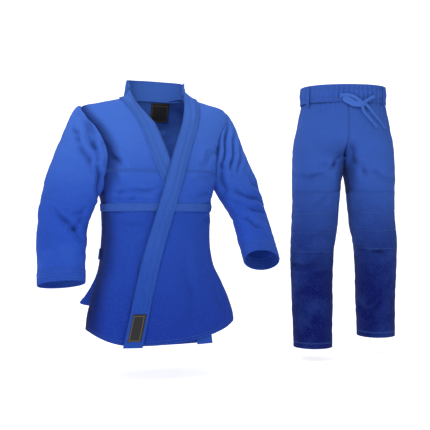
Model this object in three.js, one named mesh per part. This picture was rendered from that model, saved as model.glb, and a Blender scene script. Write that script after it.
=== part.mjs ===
// A martial arts uniform: a wrap jacket and a pair of drawstring trousers, side by side in the shapes that
// they have when worn. Every cloth piece is a thin closed solid that lies at a named height above its
// garment's surface.
import * as THREE from 'three';
import { ParametricGeometry } from 'three/addons/geometries/ParametricGeometry.js';
import { mergeVertices } from 'three/addons/utils/BufferGeometryUtils.js';

const { degToRad, lerp, smoothstep } = THREE.MathUtils;
const quarter = Math.PI / 2;

// Cloth and seams
const clothWall = 2.6;
const trouserWall = 2;
const lapelWall = 4;
const underLapelWall = 3;
const tapeWall = 1.2;
const labelWall = 0.9;
const seamGap = 0.6; // between pieces sewn edge to edge
const layerGap = 1.2; // between pieces sewn one over the other

// Jacket, in heights above its lowest hem
const shoulderHeight = 765;
const neckRise = 41;
const yokeDrop = 200;
const armholeDrop = 275;
const waistDrop = 315;
const ventDrop = 485;
const foldHeight = 32; // the strip of cloth that bends above each skirt flap
const shoulderHalf = 240;
const chestHalf = 202;
const waistHalf = 173;
const hipHalf = 179;
const hemHalfLeft = 262;
const hemHalfRight = 232;
const neckHalf = 88;
const chestDepth = 112;
const waistDepth = 122;
const hemDepth = 146;
const neckDepthFront = 28;
const neckDepthBack = 66;
const jacketTurn = 22; // degrees, about the upright axis
const jacketRoundness = 0.85;
const armholeSpread = 38; // half of the armhole's angle round the body, in degrees
const lapelWidth = 55;
const lapelLap = 14; // how far a lapel covers the panel that it is sewn to
const collarHeight = 50;
const collarLean = 8;
const lapelHem = 26;
const waistTapeHeight = 24;
const hemRiseFront = 92;
const hemRiseSide = 66;
const hemRiseBack = 140;
const ventFlareBack = 112;
const ventPatchSize = 34;
const ventPatchLift = 4;
const ventPatchColumns = 2; // of the back panel's columns
const neckLabelSize = 60;
const neckLabelShift = 40;
const hemLabelWidth = 38;
const hemLabelLength = 82;
const hemLabelLift = 14;

// Sleeves: out from the body and forward, in degrees from straight down, and the length taken up in folds
const upperSleeve = 255;
const lowerSleeve = 187;
const elbowFold = 46; // half of the length that bends
const sleeveWideTop = 82;
const sleeveWideElbow = 79;
const sleeveWideCuff = 74;
const sleeveThinTop = 58;
const sleeveHead = 27; // how far the outside of the upper sleeve bulges
const sleeveThinElbow = 53;
const sleeveThinCuff = 50;
const sleeveTwist = 40; // the flattened section's turn about the sleeve
const sleeveJoin = 120; // the length over which the sleeve leaves the armhole's outline
const cuffHeight = 42;
const sleevePoses = {
  left: { upperOut: 29, upperForward: 14, lowerOut: 0, lowerForward: 34, gather: 30 },
  right: { upperOut: 24, upperForward: 6, lowerOut: 3, lowerForward: 16, gather: 0 },
};

// Trousers, in heights above their hem
const trouserLength = 927;
const waistbandHeight = 54;
const crotchHeight = 672;
const hipFold = 38; // half of the length that bends below the crotch
const kneeHeight = 443;
const kneeFold = 64; // half of the length that bends at the knee
const kneePatchHeight = 211;
const waistHalfTrousers = 146;
const hipHalfTrousers = 179;
const waistDepthTrousers = 111;
const seatDepth = 137;
const legHalfTop = 86;
const legHalfKnee = 82;
const legHalfCalf = 75;
const legHalfHem = 68;
const legDepthTop = 109;
const legDepthKnee = 86;
const legDepthHem = 73;
const legGap = 8; // half of the gap between the legs at the top
const legCentreHem = 111;
const legCentreCalf = 113;
const legCentreKnee = 102;
const calfHeight = 332;
const legStride = { left: 103, right: -24 }; // how far back each hem is
const legOut = { left: 28, right: 0 }; // how far out each hem is
const legRaise = { left: 21, right: 0 }; // how far each hem is above the lower one
const trouserRoundness = 0.9;
const kneePatchSpan = 72; // degrees each side of straight ahead
const beltLoopWidth = 13;
const beltLoopAngle = 33; // degrees in front of each side
const beltLoopHeight = 70;
const beltLoopStand = 3;
const cordWidth = 13;
const cordThick = 2.4;
const freeCordHalf = 3;
const trouserShift = [658, 300, -45]; // from the jacket's foot to the trousers' foot

// What lies over what, as heights above the jacket's surface
const underLapel = clothWall + layerGap;
const overLift = underLapel + underLapelWall + layerGap;
const overLapel = clothWall + layerGap;

const neckHeight = shoulderHeight + neckRise;
const yokeSeam = shoulderHeight - yokeDrop;
const armpit = shoulderHeight - armholeDrop;
const waistSeam = shoulderHeight - waistDrop;
const ventTop = shoulderHeight - ventDrop;
const flapTop = ventTop - foldHeight;

// A smooth curve through [place, value] stations, in order of place.
function through(...stations) {
  const slope = (i) => {
    const [before, after] = [stations[Math.max(i - 1, 0)], stations[Math.min(i + 1, stations.length - 1)]];
    return (after[1] - before[1]) / (after[0] - before[0]);
  };
  return (place) => {
    const last = stations.length - 2;
    const found = stations.findIndex((station) => station[0] > place) - 1;
    const i = found < -1 ? last : Math.min(Math.max(found, place < stations[0][0] ? 0 : found), last);
    const start = Math.max(i, 0);
    const [a, b] = [stations[start], stations[start + 1]];
    const span = b[0] - a[0];
    const t = THREE.MathUtils.clamp((place - a[0]) / span, 0, 1);
    const tangents = t * (1 - t) * ((1 - t) * slope(start) - t * slope(start + 1)) * span;
    return a[1] + (b[1] - a[1]) * t * t * (3 - 2 * t) + tangents;
  };
}

// The jacket's surface at an angle round the body and a height; angle 0 is the wearer's left and a quarter
// turn is the back
const yokeTopStations = [
  [shoulderHeight, shoulderHalf],
  [shoulderHeight + 0.37 * neckRise, lerp(shoulderHalf, neckHalf, 0.37)],
  [shoulderHeight + 0.73 * neckRise, lerp(shoulderHalf, neckHalf, 0.76)],
  [neckHeight, neckHalf],
];
const bodyStations = [
  [ventTop, hipHalf],
  [waistSeam, waistHalf],
  [yokeSeam, chestHalf],
  [shoulderHeight - 0.3 * yokeDrop, lerp(chestHalf, shoulderHalf, 0.85)],
];
const halfStations = (hem) => [[0, hem], [0.4 * ventTop, hem - 8], ...bodyStations, ...yokeTopStations];
const halfLeft = through(...halfStations(hemHalfLeft));
const halfRight = through(...halfStations(hemHalfRight));
const depthFront = through(
  [0, hemDepth],
  [ventTop, waistDepth],
  [waistSeam, waistDepth],
  [yokeSeam, chestDepth + 6],
  [shoulderHeight - 0.3 * yokeDrop, 0.78 * chestDepth],
  [shoulderHeight, 0.55 * chestDepth],
  [neckHeight, neckDepthFront],
);
const depthBack = through(
  [0, hemDepth],
  [ventTop, waistDepth - 10],
  [waistSeam, waistDepth - 14],
  [yokeSeam, chestDepth],
  [shoulderHeight - 0.3 * yokeDrop, 0.94 * chestDepth],
  [shoulderHeight, 0.72 * chestDepth],
  [neckHeight, neckDepthBack],
);
const power = (value, roundness) => Math.sign(value) * Math.abs(value) ** roundness;

function jacketCurve(angle, height) {
  const [c, s] = [Math.cos(angle), Math.sin(angle)];
  const half = c > 0 ? halfLeft(height) : halfRight(height);
  const depth = s > 0 ? depthBack(height) : depthFront(height);
  return new THREE.Vector3(half * power(c, jacketRoundness), depth * power(s, jacketRoundness), height);
}

// A point that stands `out` above a surface.
function above(surface, a, b, out) {
  const step = 1e-4;
  const along = surface(a + step, b).sub(surface(a - step, b));
  const up = surface(a, b + step * 1000).sub(surface(a, b - step * 1000));
  return surface(a, b).addScaledVector(along.cross(up).normalize(), out);
}
const onJacket = (angle, height, out) => above(jacketCurve, angle, height, out);

// The angle on the jacket's front at which a height has the side-to-side place x.
function frontAngle(x, height) {
  const half = x > 0 ? halfLeft(height) : halfRight(height);
  const share = Math.min(Math.abs(x) / half, 1) ** (1 / jacketRoundness);
  return -Math.acos(Math.sign(x) * share);
}
// The angle that leaves half of a seam's gap beside the side seams and the shoulder seams.
function sideAngle(height, depth) {
  return Math.asin((seamGap / 2 / depth(height)) ** (1 / jacketRoundness));
}

// Closes a grid of points into a solid: merges shared points, drops flat triangles, turns the faces outwards.
function closed(geometry) {
  geometry.deleteAttribute('normal');
  geometry.deleteAttribute('uv');
  const merged = mergeVertices(geometry, 1e-4);
  const corners = merged.index.array;
  const kept = [];
  for (let i = 0; i < corners.length; i += 3) {
    const [a, b, c] = [corners[i], corners[i + 1], corners[i + 2]];
    if (a !== b && b !== c && c !== a) kept.push(a, b, c);
  }
  const place = merged.getAttribute('position');
  const point = (i) => new THREE.Vector3().fromBufferAttribute(place, i);
  let volume = 0;
  for (let i = 0; i < kept.length; i += 3) {
    volume += point(kept[i]).dot(point(kept[i + 1]).cross(point(kept[i + 2])));
  }
  merged.setIndex(volume < 0 ? kept.reverse() : kept);
  merged.computeVertexNormals();
  return merged;
}

// A sheet of cloth: place(u, v, side) is a point of it, with side 0 on its inner face and 1 on its outer.
function sheet(place, columns, rows) {
  const loop = 2 * columns + 2;
  const stack = rows + 2;
  const build = (s, t, target) => {
    const step = Math.round(s * loop) % loop;
    const row = Math.round(t * stack);
    const outer = step <= columns;
    const u = outer ? step / columns : 1 - (step - columns - 1) / columns;
    const v = THREE.MathUtils.clamp((row - 1) / rows, 0, 1);
    const end = row === 0 || row === stack;
    target.copy(place(u, v, end ? 0.5 : Number(outer)));
  };
  return closed(new ParametricGeometry(build, loop, stack));
}

// A sheet of cloth sewn into a tube: place(u, v, side) goes all the way round as u goes from 0 to 1.
function tube(place, around, rows) {
  const stack = 2 * rows + 2;
  const build = (s, t, target) => {
    const step = Math.round(s * around) % around;
    const row = Math.round(t * stack) % stack;
    const outer = row <= rows;
    const v = outer ? row / rows : 1 - (row - rows - 1) / rows;
    target.copy(place(step / around, v, Number(outer)));
  };
  return closed(new ParametricGeometry(build, around, stack));
}

// Colours, as linear cloth finishes
const dyes = {
  jacket: [0x2a55c8, 0.85],
  skirt: [0x2348b8, 0.85],
  lapel: [0x3360d2, 0.8],
  tape: [0x2e58c8, 0.8],
  trousers: [0x2447b4, 0.82],
  label: [0x101014, 0.6],
  cord: [0x3565d0, 0.75],
};
const materials = {};
for (const [name, [color, roughness]] of Object.entries(dyes)) {
  materials[name] = new THREE.MeshStandardMaterial({ color, roughness, metalness: 0, name });
}

const jacket = new THREE.Group();
const trousers = new THREE.Group();

function add(group, name, geometry, material) {
  const mesh = new THREE.Mesh(geometry, material);
  mesh.name = name;
  group.add(mesh);
}

// Edges of the front panels, as side-to-side places at a height
const crossHeight = yokeSeam + 39;
const freeLeft = through(
  [0, -145],
  [ventTop, -80],
  [waistSeam, -32],
  [crossHeight, 16],
  [yokeSeam + 0.84 * yokeDrop, 65],
  [neckHeight, neckHalf - 10],
);
const freeRight = through(
  [0, -150],
  [ventTop, -112],
  [waistSeam, -68],
  [crossHeight, -12],
  [yokeSeam + 0.84 * yokeDrop, 36],
  [neckHeight, neckHalf - 10],
);
const standUp = (height) => smoothstep(height, yokeSeam + 0.7 * yokeDrop, neckHeight - 6);
const panelEdge = (free) => (height) => Math.min(free(height) + lapelWidth - lapelLap, halfLeft(height) - 12);

// How far the over panel is raised: nothing at its side seam, and clear of the under lapel from there on
const raised = (angle) => overLift * smoothstep(-angle, degToRad(4), degToRad(30));

const armholeAngle = (height) => {
  const share = THREE.MathUtils.clamp((height - armpit) / armholeDrop, 0, 1);
  return degToRad(armholeSpread) * Math.sin(Math.PI * share) ** 0.7;
};
const levels = (list) => (v) => {
  const place = v * (list.length - 1);
  const i = Math.min(Math.floor(place), list.length - 2);
  return lerp(list[i], list[i + 1], place - i);
};
const armholeLevels = [
  armpit,
  armpit + 34,
  yokeSeam,
  yokeSeam + 70,
  yokeSeam + 130,
  shoulderHeight - 26,
  shoulderHeight,
];
const shoulderLevels = [
  ...armholeLevels.slice(2),
  shoulderHeight + 0.3 * neckRise,
  shoulderHeight + 0.6 * neckRise,
];

// Height bands of the jacket, each with its rows; hem(u) is the lower edge of a flap from the side seam on
const bands = {
  yoke: { rows: shoulderLevels, top: neckHeight - 4 },
  body: { rows: [waistSeam, armpit, armpit + 34, yokeSeam] },
  skirt: {
    rows: [ventTop, ventTop + ventPatchLift + ventPatchSize, (ventTop + 2 * waistSeam) / 3, waistSeam],
  },
  fold: { rows: [flapTop, ventTop] },
};

// One panel between two edges, each a function that gives the angle at a height
function jacketPanel({ near, far, low, high, raise = () => 0, wall = clothWall, lift = 0 }) {
  return (u, v, side) => {
    const height = Array.isArray(low) ? levels(low)(v) : lerp(low(u), high, v);
    const angle = lerp(near(height), far(height), u);
    return onJacket(angle, height, lift + raise(angle) + wall * side);
  };
}
const trimmed = (rows, lowest, highest) => {
  const list = [...rows];
  list[0] += lowest;
  list[list.length - 1] -= highest;
  return list;
};

const frontNear = (height) => -armholeAngle(height) - sideAngle(height, depthFront);
const backNear = (height) => armholeAngle(height) + sideAngle(height, depthBack);
const mirrored = (place) => (u, v, side) => place(u, v, side).multiply(new THREE.Vector3(-1, 1, 1));
const rightOf = (near) => (height) => -Math.PI - near(height);
const backRight = (height) => Math.PI - backNear(height);
const freeAngle = (free) => (height) => frontAngle(panelEdge(free)(height), height);
const frontSides = {
  left: { near: frontNear, far: freeAngle(freeLeft), raise: raised },
  right: { near: rightOf(frontNear), far: (height) => frontAngle(-panelEdge(freeRight)(height), height) },
};

const frontColumns = 14;
const backColumns = 16;
function bandRows(name) {
  const { rows, top } = bands[name];
  const list = trimmed(rows, seamGap / 2, seamGap / 2);
  return top ? [...list, top] : list;
}
const hems = {
  left: (u) => lerp(hemRiseFront, lapelHem, smoothstep(u, 0, 0.9)),
  right: (u) => lerp(hemRiseSide, lapelHem, smoothstep(u, 0, 0.6)),
  back: (u) => hemRiseBack - 20 * Math.sin(Math.PI * u),
};

for (const [side, edges] of Object.entries(frontSides)) {
  for (const band of Object.keys(bands)) {
    const rows = bandRows(band);
    const place = jacketPanel({ ...edges, low: rows });
    const material = band === 'skirt' || band === 'fold' ? materials.skirt : materials.jacket;
    add(jacket, `front_${band}_${side}`, sheet(place, frontColumns, rows.length - 1), material);
  }
  const flap = jacketPanel({ ...edges, low: hems[side], high: flapTop - seamGap / 2 });
  add(jacket, `front_flap_${side}`, sheet(flap, frontColumns, 3), materials.skirt);
}

for (const band of Object.keys(bands)) {
  const rows = bandRows(band);
  if (band === 'yoke') rows[rows.length - 1] = neckHeight;
  const place = jacketPanel({ near: backNear, far: backRight, low: rows });
  const material = band === 'skirt' || band === 'fold' ? materials.skirt : materials.jacket;
  add(jacket, `back_${band}`, sheet(place, backColumns, rows.length - 1), material);
}
// The back flap hangs away behind the body at its side vents
const backFlap = (u, v, side) => {
  const high = flapTop - seamGap / 2;
  const hanging = jacketPanel({ near: backNear, far: backRight, low: hems.back, high });
  const point = hanging(u, v, side);
  point.y += ventFlareBack * (1 - v) ** 1.3 * (1 - Math.sin(Math.PI * u)) ** 1.6;
  return point;
};
add(jacket, 'back_flap', sheet(backFlap, backColumns, 4), materials.skirt);

// Tapes over the waist seam; each stops short of the lapel beside it
const tapeRows = [waistSeam - waistTapeHeight / 2, waistSeam + waistTapeHeight / 2];
const tapeLift = clothWall + layerGap;
const tapeStart = (near) => (height) => near(height) - degToRad(1.5);
const lapelStop = (free) => (height) => frontAngle(free(height) + lapelWidth + 4, height);
const leftTape = jacketPanel({
  near: tapeStart(frontNear),
  far: lapelStop(freeLeft),
  low: tapeRows,
  raise: raised,
  wall: tapeWall,
  lift: tapeLift,
});
add(jacket, 'waist_tape_left', sheet(leftTape, 12, 1), materials.tape);
const rightTape = jacketPanel({
  near: (height) => -Math.PI - frontNear(height) + degToRad(1.5),
  far: (height) => frontAngle(freeLeft(height) - 9, height),
  low: tapeRows,
  wall: tapeWall,
  lift: tapeLift,
});
add(jacket, 'waist_tape_right', sheet(rightTape, 12, 1), materials.tape);
const backTape = jacketPanel({
  near: (height) => backNear(height) + degToRad(1.5),
  far: (height) => backRight(height) - degToRad(1.5),
  low: tapeRows,
  wall: tapeWall,
  lift: tapeLift,
});
add(jacket, 'waist_tape_back', sheet(backTape, backColumns, 1), materials.tape);

// Square patches that strengthen the top of each side vent, on the back panel
for (const [name, side] of [['left', 1], ['right', -1]]) {
  const place = (u, v, face) => {
    const height = ventTop + ventPatchLift + ventPatchSize * v;
    const across = (ventPatchColumns / backColumns) * u;
    const angle = lerp(backNear(height), backRight(height), side > 0 ? across : 1 - across);
    return onJacket(angle, height, clothWall + seamGap + tapeWall * face);
  };
  add(jacket, `vent_patch_${name}`, sheet(place, ventPatchColumns, 1), materials.tape);
}

// The collar stands round the back of the neck; each lapel lies over its panel's free edge and rises to it
const collarSewn = (turn) => {
  const depth = Math.sin(turn) > 0 ? neckDepthBack : neckDepthFront;
  const height = neckHeight + clothWall + seamGap;
  return new THREE.Vector3(neckHalf * Math.cos(turn), depth * Math.sin(turn), height);
};
const collarFree = (turn) => {
  const lean = Math.sin(turn) > 0 ? collarLean : 0;
  return collarSewn(turn).add(new THREE.Vector3(2 * Math.cos(turn), lean * Math.sin(turn), collarHeight));
};
const collarEnd = degToRad(-8);
const lapelLevels = [
  ...bands.skirt.rows,
  ...armholeLevels.slice(0, 2),
  ...shoulderLevels,
  bands.yoke.top,
];
const sewnFrom = 1 - (lapelLap + 3) / lapelWidth; // from here on the lapel lies on its panel
const lapelColumns = [0, sewnFrom / 2, sewnFrom, 1];

function lapelPlace({ toward, free, lift, wall, heightAt }) {
  const half = toward > 0 ? halfLeft : halfRight;
  return (u, v, side) => {
    const height = heightAt(v);
    const across = levels(lapelColumns)(u);
    const angle = (x) => frontAngle(toward * x, height);
    const sewn = Math.min(free(height) + lapelWidth, half(height) - 5);
    const lying = onJacket(lerp(angle(free(height)), angle(sewn), across), height, lift + wall * side);
    const share = standUp(height) * Math.max(1 - across / sewnFrom, 0);
    const outward = new THREE.Vector3(wall * side + lift / 2, -wall * side, height - neckHeight);
    const stand = collarFree(collarEnd).add(outward);
    stand.x *= toward;
    return lying.lerp(stand, share);
  };
}
const lapels = {
  left: { toward: 1, free: freeLeft, lift: overLift + overLapel, wall: lapelWall },
  right: { toward: -1, free: freeRight, lift: underLapel, wall: underLapelWall },
};
for (const [side, lapel] of Object.entries(lapels)) {
  const upper = lapelPlace({ ...lapel, heightAt: levels(lapelLevels) });
  add(jacket, `lapel_${side}`, sheet(upper, 3, lapelLevels.length - 1), materials.lapel);
  const tail = lapelPlace({ ...lapel, heightAt: (v) => lerp(lapelHem, flapTop - seamGap / 2, v) });
  add(jacket, `lapel_tail_${side}`, sheet(tail, 3, 3), materials.lapel);
}

const collarPlace = (u, v, side) => {
  const turn = lerp(collarEnd, Math.PI - collarEnd, u);
  const outward = new THREE.Vector3(Math.cos(turn), Math.sin(turn), 0);
  return collarSewn(turn).lerp(collarFree(turn), v).addScaledVector(outward, 1 + lapelWall * side);
};
add(jacket, 'collar_back', sheet(collarPlace, 14, 1), materials.lapel);

// Labels: one inside the neck below the collar, one at the foot of the over lapel
const neckLabelPlace = (u, v, side) => {
  const height = neckHeight - 6 - neckLabelSize * (1 - v);
  const x = neckLabelShift + neckLabelSize * (u - 0.5);
  return onJacket(-frontAngle(x, height), height, -layerGap / 2 - labelWall * (1 - side));
};
add(jacket, 'neck_label', sheet(neckLabelPlace, 4, 3), materials.label);
const hemLabelPlace = (u, v, side) => {
  const height = lapelHem + hemLabelLift + hemLabelLength * v;
  const middle = freeLeft(height) + lapelWidth / 2;
  const angle = frontAngle(middle + hemLabelWidth * (u - 0.5), height);
  return onJacket(angle, height, overLift + overLapel + lapelWall + layerGap / 2 + labelWall * side);
};
add(jacket, 'hem_label', sheet(hemLabelPlace, 2, 3), materials.label);

// Sleeves: the armhole's edge, then a flattened tube along a bent centre line
function sleeveCentre({ upperOut, upperForward, lowerOut, lowerForward, gather }) {
  const heading = (out, forward) => {
    return new THREE.Vector3(Math.tan(degToRad(out)), -Math.tan(degToRad(forward)), -1).normalize();
  };
  const [upper, lower] = [heading(upperOut, upperForward), heading(lowerOut, lowerForward)];
  const shoulder = new THREE.Vector3((waistHalf + shoulderHalf) / 2, 4, (armpit + shoulderHeight) / 2);
  const stretch = (upperSleeve - elbowFold - gather) / (upperSleeve - elbowFold);
  const elbow = shoulder.clone().addScaledVector(upper, upperSleeve - gather);
  const bendStart = elbow.clone().addScaledVector(upper, -elbowFold);
  const bendEnd = elbow.clone().addScaledVector(lower, elbowFold);
  const bend = new THREE.QuadraticBezierCurve3(bendStart, elbow, bendEnd);
  return (along) => {
    if (along < upperSleeve - elbowFold) {
      return { point: shoulder.clone().addScaledVector(upper, along * stretch), heading: upper };
    }
    if (along > upperSleeve + elbowFold) {
      return { point: elbow.clone().addScaledVector(lower, along - upperSleeve), heading: lower };
    }
    const t = (along - upperSleeve + elbowFold) / (2 * elbowFold);
    return { point: bend.getPoint(t), heading: bend.getTangent(t) };
  };
}

const armholeClear = 5.8; // from each armhole's edge to its sleeve
const sleeveRound = 2 * (armholeLevels.length - 1);
function armholePoint(turn, out) {
  const place = turn * sleeveRound;
  const half = sleeveRound / 2;
  const back = place > half;
  const height = levels(armholeLevels)(1 - (back ? sleeveRound - place : place) / half);
  const clear = seamGap / 2;
  const nearEdge = back ? backNear(height) : -frontNear(height);
  const angle = Math.max(nearEdge - (clear + seamGap) / waistHalf, 0) * (back ? 1 : -1);
  const point = onJacket(angle, Math.min(Math.max(height, armpit + clear), shoulderHeight - clear), out);
  return point.add(new THREE.Vector3(clear + armholeClear, 0, 0));
}

const sleeveEnd = upperSleeve + lowerSleeve;
const sleeveWide = through([0, sleeveWideTop], [upperSleeve, sleeveWideElbow], [sleeveEnd, sleeveWideCuff]);
const sleeveThin = through([0, sleeveThinTop], [upperSleeve, sleeveThinElbow], [sleeveEnd, sleeveThinCuff]);

function sleeveSurface(pose) {
  const centre = sleeveCentre(pose);
  return (turn, along, out) => {
    const { point, heading } = centre(along);
    const outward = new THREE.Vector3(1, 0, 0).addScaledVector(heading, -heading.x).normalize();
    const forward = heading.clone().cross(outward).normalize();
    const angle = 2 * Math.PI * turn;
    const tilt = angle + degToRad(sleeveTwist);
    const [wide, thin] = [sleeveWide(along), sleeveThin(along)];
    const radius = (wide * thin) / Math.hypot(thin * Math.cos(tilt), wide * Math.sin(tilt)) + out;
    const ring = point.addScaledVector(outward, radius * Math.cos(angle));
    ring.addScaledVector(forward, radius * Math.sin(angle));
    const head = sleeveHead * Math.sin(Math.PI * Math.min(along / upperSleeve, 1) ** 0.7);
    const joined = armholePoint(turn, out).lerp(ring, smoothstep(along, 0, sleeveJoin));
    return joined.addScaledVector(outward, head * (0.15 + 0.85 * Math.max(Math.cos(angle), 0)));
  };
}

for (const [side, pose] of Object.entries(sleevePoses)) {
  const surface = sleeveSurface(pose);
  const piece = (start, end, lift, wall) => {
    const place = (u, v, face) => surface(u, lerp(start, end, v), lift + wall * face);
    return side === 'left' ? place : mirrored(place);
  };
  const foldStart = upperSleeve - elbowFold;
  const foldEnd = upperSleeve + elbowFold;
  const upper = piece(0, foldStart - seamGap / 2, 0, clothWall);
  add(jacket, `sleeve_upper_${side}`, tube(upper, sleeveRound, 5), materials.jacket);
  const fold = piece(foldStart + seamGap / 2, foldEnd - seamGap / 2, 0, clothWall);
  add(jacket, `sleeve_elbow_${side}`, tube(fold, sleeveRound, 4), materials.jacket);
  const lower = piece(foldEnd + seamGap / 2, sleeveEnd, 0, clothWall);
  add(jacket, `sleeve_lower_${side}`, tube(lower, sleeveRound, 3), materials.jacket);
  const cuff = piece(sleeveEnd - cuffHeight, sleeveEnd - 1, clothWall + layerGap / 2, tapeWall);
  add(jacket, `cuff_${side}`, tube(cuff, sleeveRound, 1), materials.tape);
}

// The trousers' surface from the waist to the crotch, on the same kind of curve as the jacket
const seatBottom = crotchHeight - 8;
const bandBottom = trouserLength - waistbandHeight;
const seatHalf = through(
  [seatBottom, hipHalfTrousers],
  [crotchHeight + 60, hipHalfTrousers - 3],
  [crotchHeight + 140, lerp(hipHalfTrousers, waistHalfTrousers, 0.6)],
  [bandBottom, waistHalfTrousers],
  [trouserLength, waistHalfTrousers],
);
const seatFront = through(
  [seatBottom, seatDepth - 12],
  [crotchHeight + 60, seatDepth - 8],
  [bandBottom, waistDepthTrousers],
  [trouserLength, waistDepthTrousers],
);
const seatBack = through(
  [seatBottom, seatDepth],
  [crotchHeight + 60, seatDepth + 6],
  [bandBottom, waistDepthTrousers + 2],
  [trouserLength, waistDepthTrousers + 2],
);
function seatCurve(angle, height) {
  const depth = Math.sin(angle) > 0 ? seatBack(height) : seatFront(height);
  const x = seatHalf(height) * power(Math.cos(angle), trouserRoundness);
  return new THREE.Vector3(x, depth * power(Math.sin(angle), trouserRoundness), height);
}
const onSeat = (angle, height, out) => above(seatCurve, angle, height, out);

const seatPlace = (u, v, side) => {
  const height = lerp(seatBottom, bandBottom - seamGap / 2, v);
  const gap = seamGap / 2 / seatHalf(height);
  return onSeat(lerp(-quarter + gap * 2, quarter - gap * 2, u), height, trouserWall * side);
};
add(trousers, 'seat_left', sheet(seatPlace, 14, 5), materials.trousers);
add(trousers, 'seat_right', sheet(mirrored(seatPlace), 14, 5), materials.trousers);

// The gusset joins both halves under the crotch
const gussetHalf = 32;
const gussetPlace = (u, v, side) => {
  const x = gussetHalf * (2 * u - 1);
  const top = seatBottom + 34;
  const toward = 2 * v - 1;
  const angle = Math.acos(power(x / seatHalf(top), 1 / trouserRoundness)) * (toward < 0 ? -1 : 1);
  const reach = Math.abs(onSeat(angle, top, 0).y) - layerGap * 1.4;
  const height = seatBottom + 3 + 31 * toward ** 2 + trouserWall * side;
  return new THREE.Vector3(x, toward * (reach - trouserWall * side * toward ** 2), height);
};
add(trousers, 'crotch_gusset', sheet(gussetPlace, 3, 8), materials.trousers);

// The waistband is a casing: a lining, the cord that runs round inside it, and the shell over both
const bandRound = 32;
const bandPiece = (low, high, lift, wall) => (u, v, side) => {
  return onSeat(2 * Math.PI * u, lerp(low, high, v), lift + wall * side);
};
const casingGap = 0.8;
const cordMiddle = trouserLength - waistbandHeight / 2;
const cordLift = trouserWall * 0.7 + casingGap;
const shellLift = cordLift + cordThick + casingGap;
const lining = bandPiece(bandBottom + seamGap / 2, trouserLength - 1, 0, trouserWall * 0.7);
add(trousers, 'waistband_lining', tube(lining, bandRound, 2), materials.trousers);
const cordRun = bandPiece(cordMiddle - cordWidth / 2, cordMiddle + cordWidth / 2, cordLift, cordThick);
add(trousers, 'drawstring_run', tube(cordRun, bandRound, 1), materials.cord);
const shell = bandPiece(bandBottom - 8, trouserLength, shellLift, trouserWall);
add(trousers, 'waistband_shell', tube(shell, bandRound, 2), materials.trousers);

// Belt loops lie on the shell, held at both ends
const shellFace = shellLift + trouserWall;
for (const [name, flip] of [['left', false], ['right', true]]) {
  const place = (u, v, side) => {
    const height = lerp(trouserLength - 4 - beltLoopHeight, trouserLength - 4, v);
    const angle = -degToRad(beltLoopAngle) + ((u - 0.5) * beltLoopWidth) / waistHalfTrousers;
    const stand = layerGap / 2 + beltLoopStand * Math.sin(Math.PI * v) ** 0.5;
    const point = onSeat(angle, height, shellFace + stand + trouserWall * side);
    return point;
  };
  add(trousers, `belt_loop_${name}`, sheet(flip ? mirrored(place) : place, 2, 6), materials.trousers);
}

// The free ends of the drawstring: a place beside the centre seam, a height and a stand from the surface
const onFront = (x, height, out) => {
  const share = Math.min(Math.abs(x) / seatHalf(height), 1) ** (1 / trouserRoundness);
  return onSeat(-Math.acos(Math.sign(x) * share), height, out);
};
const knotHalf = [10, 6, 8];
const [knotX, knotHeight] = [47, bandBottom - 17];
const knotOut = shellFace + seamGap + knotHalf[1];
const knot = new THREE.SphereGeometry(1, 12, 8).scale(...knotHalf);
const knotCentre = onFront(knotX, knotHeight, knotOut);
knot.translate(knotCentre.x, knotCentre.y, knotCentre.z);
add(trousers, 'drawstring_knot', closed(knot), materials.cord);

// Routes of the drawstring's free lengths, by hand: [x, height above the band's foot, stand from the surface]
const start = shellFace + 1.5 * seamGap;
const face = start + freeCordHalf;
const cordRoutes = {
  lead_left: [
    [-26, 13, start],
    [-26, 13, face],
    [-6, 15, face + 2],
    [15, 10, face + 2],
    [30, 1, face + 1],
    [41, -9, face + 2],
  ],
  lead_right: [
    [90, 12, start],
    [90, 12, face],
    [81, 9, face + 1],
    [70, 1, face + 1],
    [62, -5, face + 2],
    [54, -11, face + 2],
  ],
  loop: [
    [37, -16, face + 2],
    [21, -11, face + 2],
    [6, -3, face + 4],
    [-9, 4, face + 5],
    [-15, 0, face + 5],
    [-9, -7, face + 4],
    [6, -16, face + 3],
    [21, -21, face + 2],
    [38, -22, face + 2],
  ],
  tail_left: [
    [57, -18, face + 2],
    [71, -30, face - 1],
    [86, -47, face - 4],
    [103, -66, face - 5],
    [120, -86, face - 5],
    [133, -101, face - 5],
  ],
  tail_right: [
    [47, -26, face + 2],
    [50, -39, face - 2],
    [62, -54, face - 4],
    [76, -70, face - 5],
    [90, -86, face - 5],
    [98, -98, face - 5],
  ],
};
function freeCord(route) {
  const points = route.map(([x, up, out]) => onFront(x, bandBottom + up, out));
  const path = new THREE.CatmullRomCurve3(points);
  const section = new THREE.Shape();
  section.absarc(0, 0, freeCordHalf, 0, 2 * Math.PI);
  const steps = Math.round(path.getLength() / (2.5 * freeCordHalf));
  return closed(new THREE.ExtrudeGeometry(section, { extrudePath: path, steps, curveSegments: 4 }));
}
for (const [name, route] of Object.entries(cordRoutes)) {
  add(trousers, `drawstring_${name}`, freeCord(route), materials.cord);
}

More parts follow.
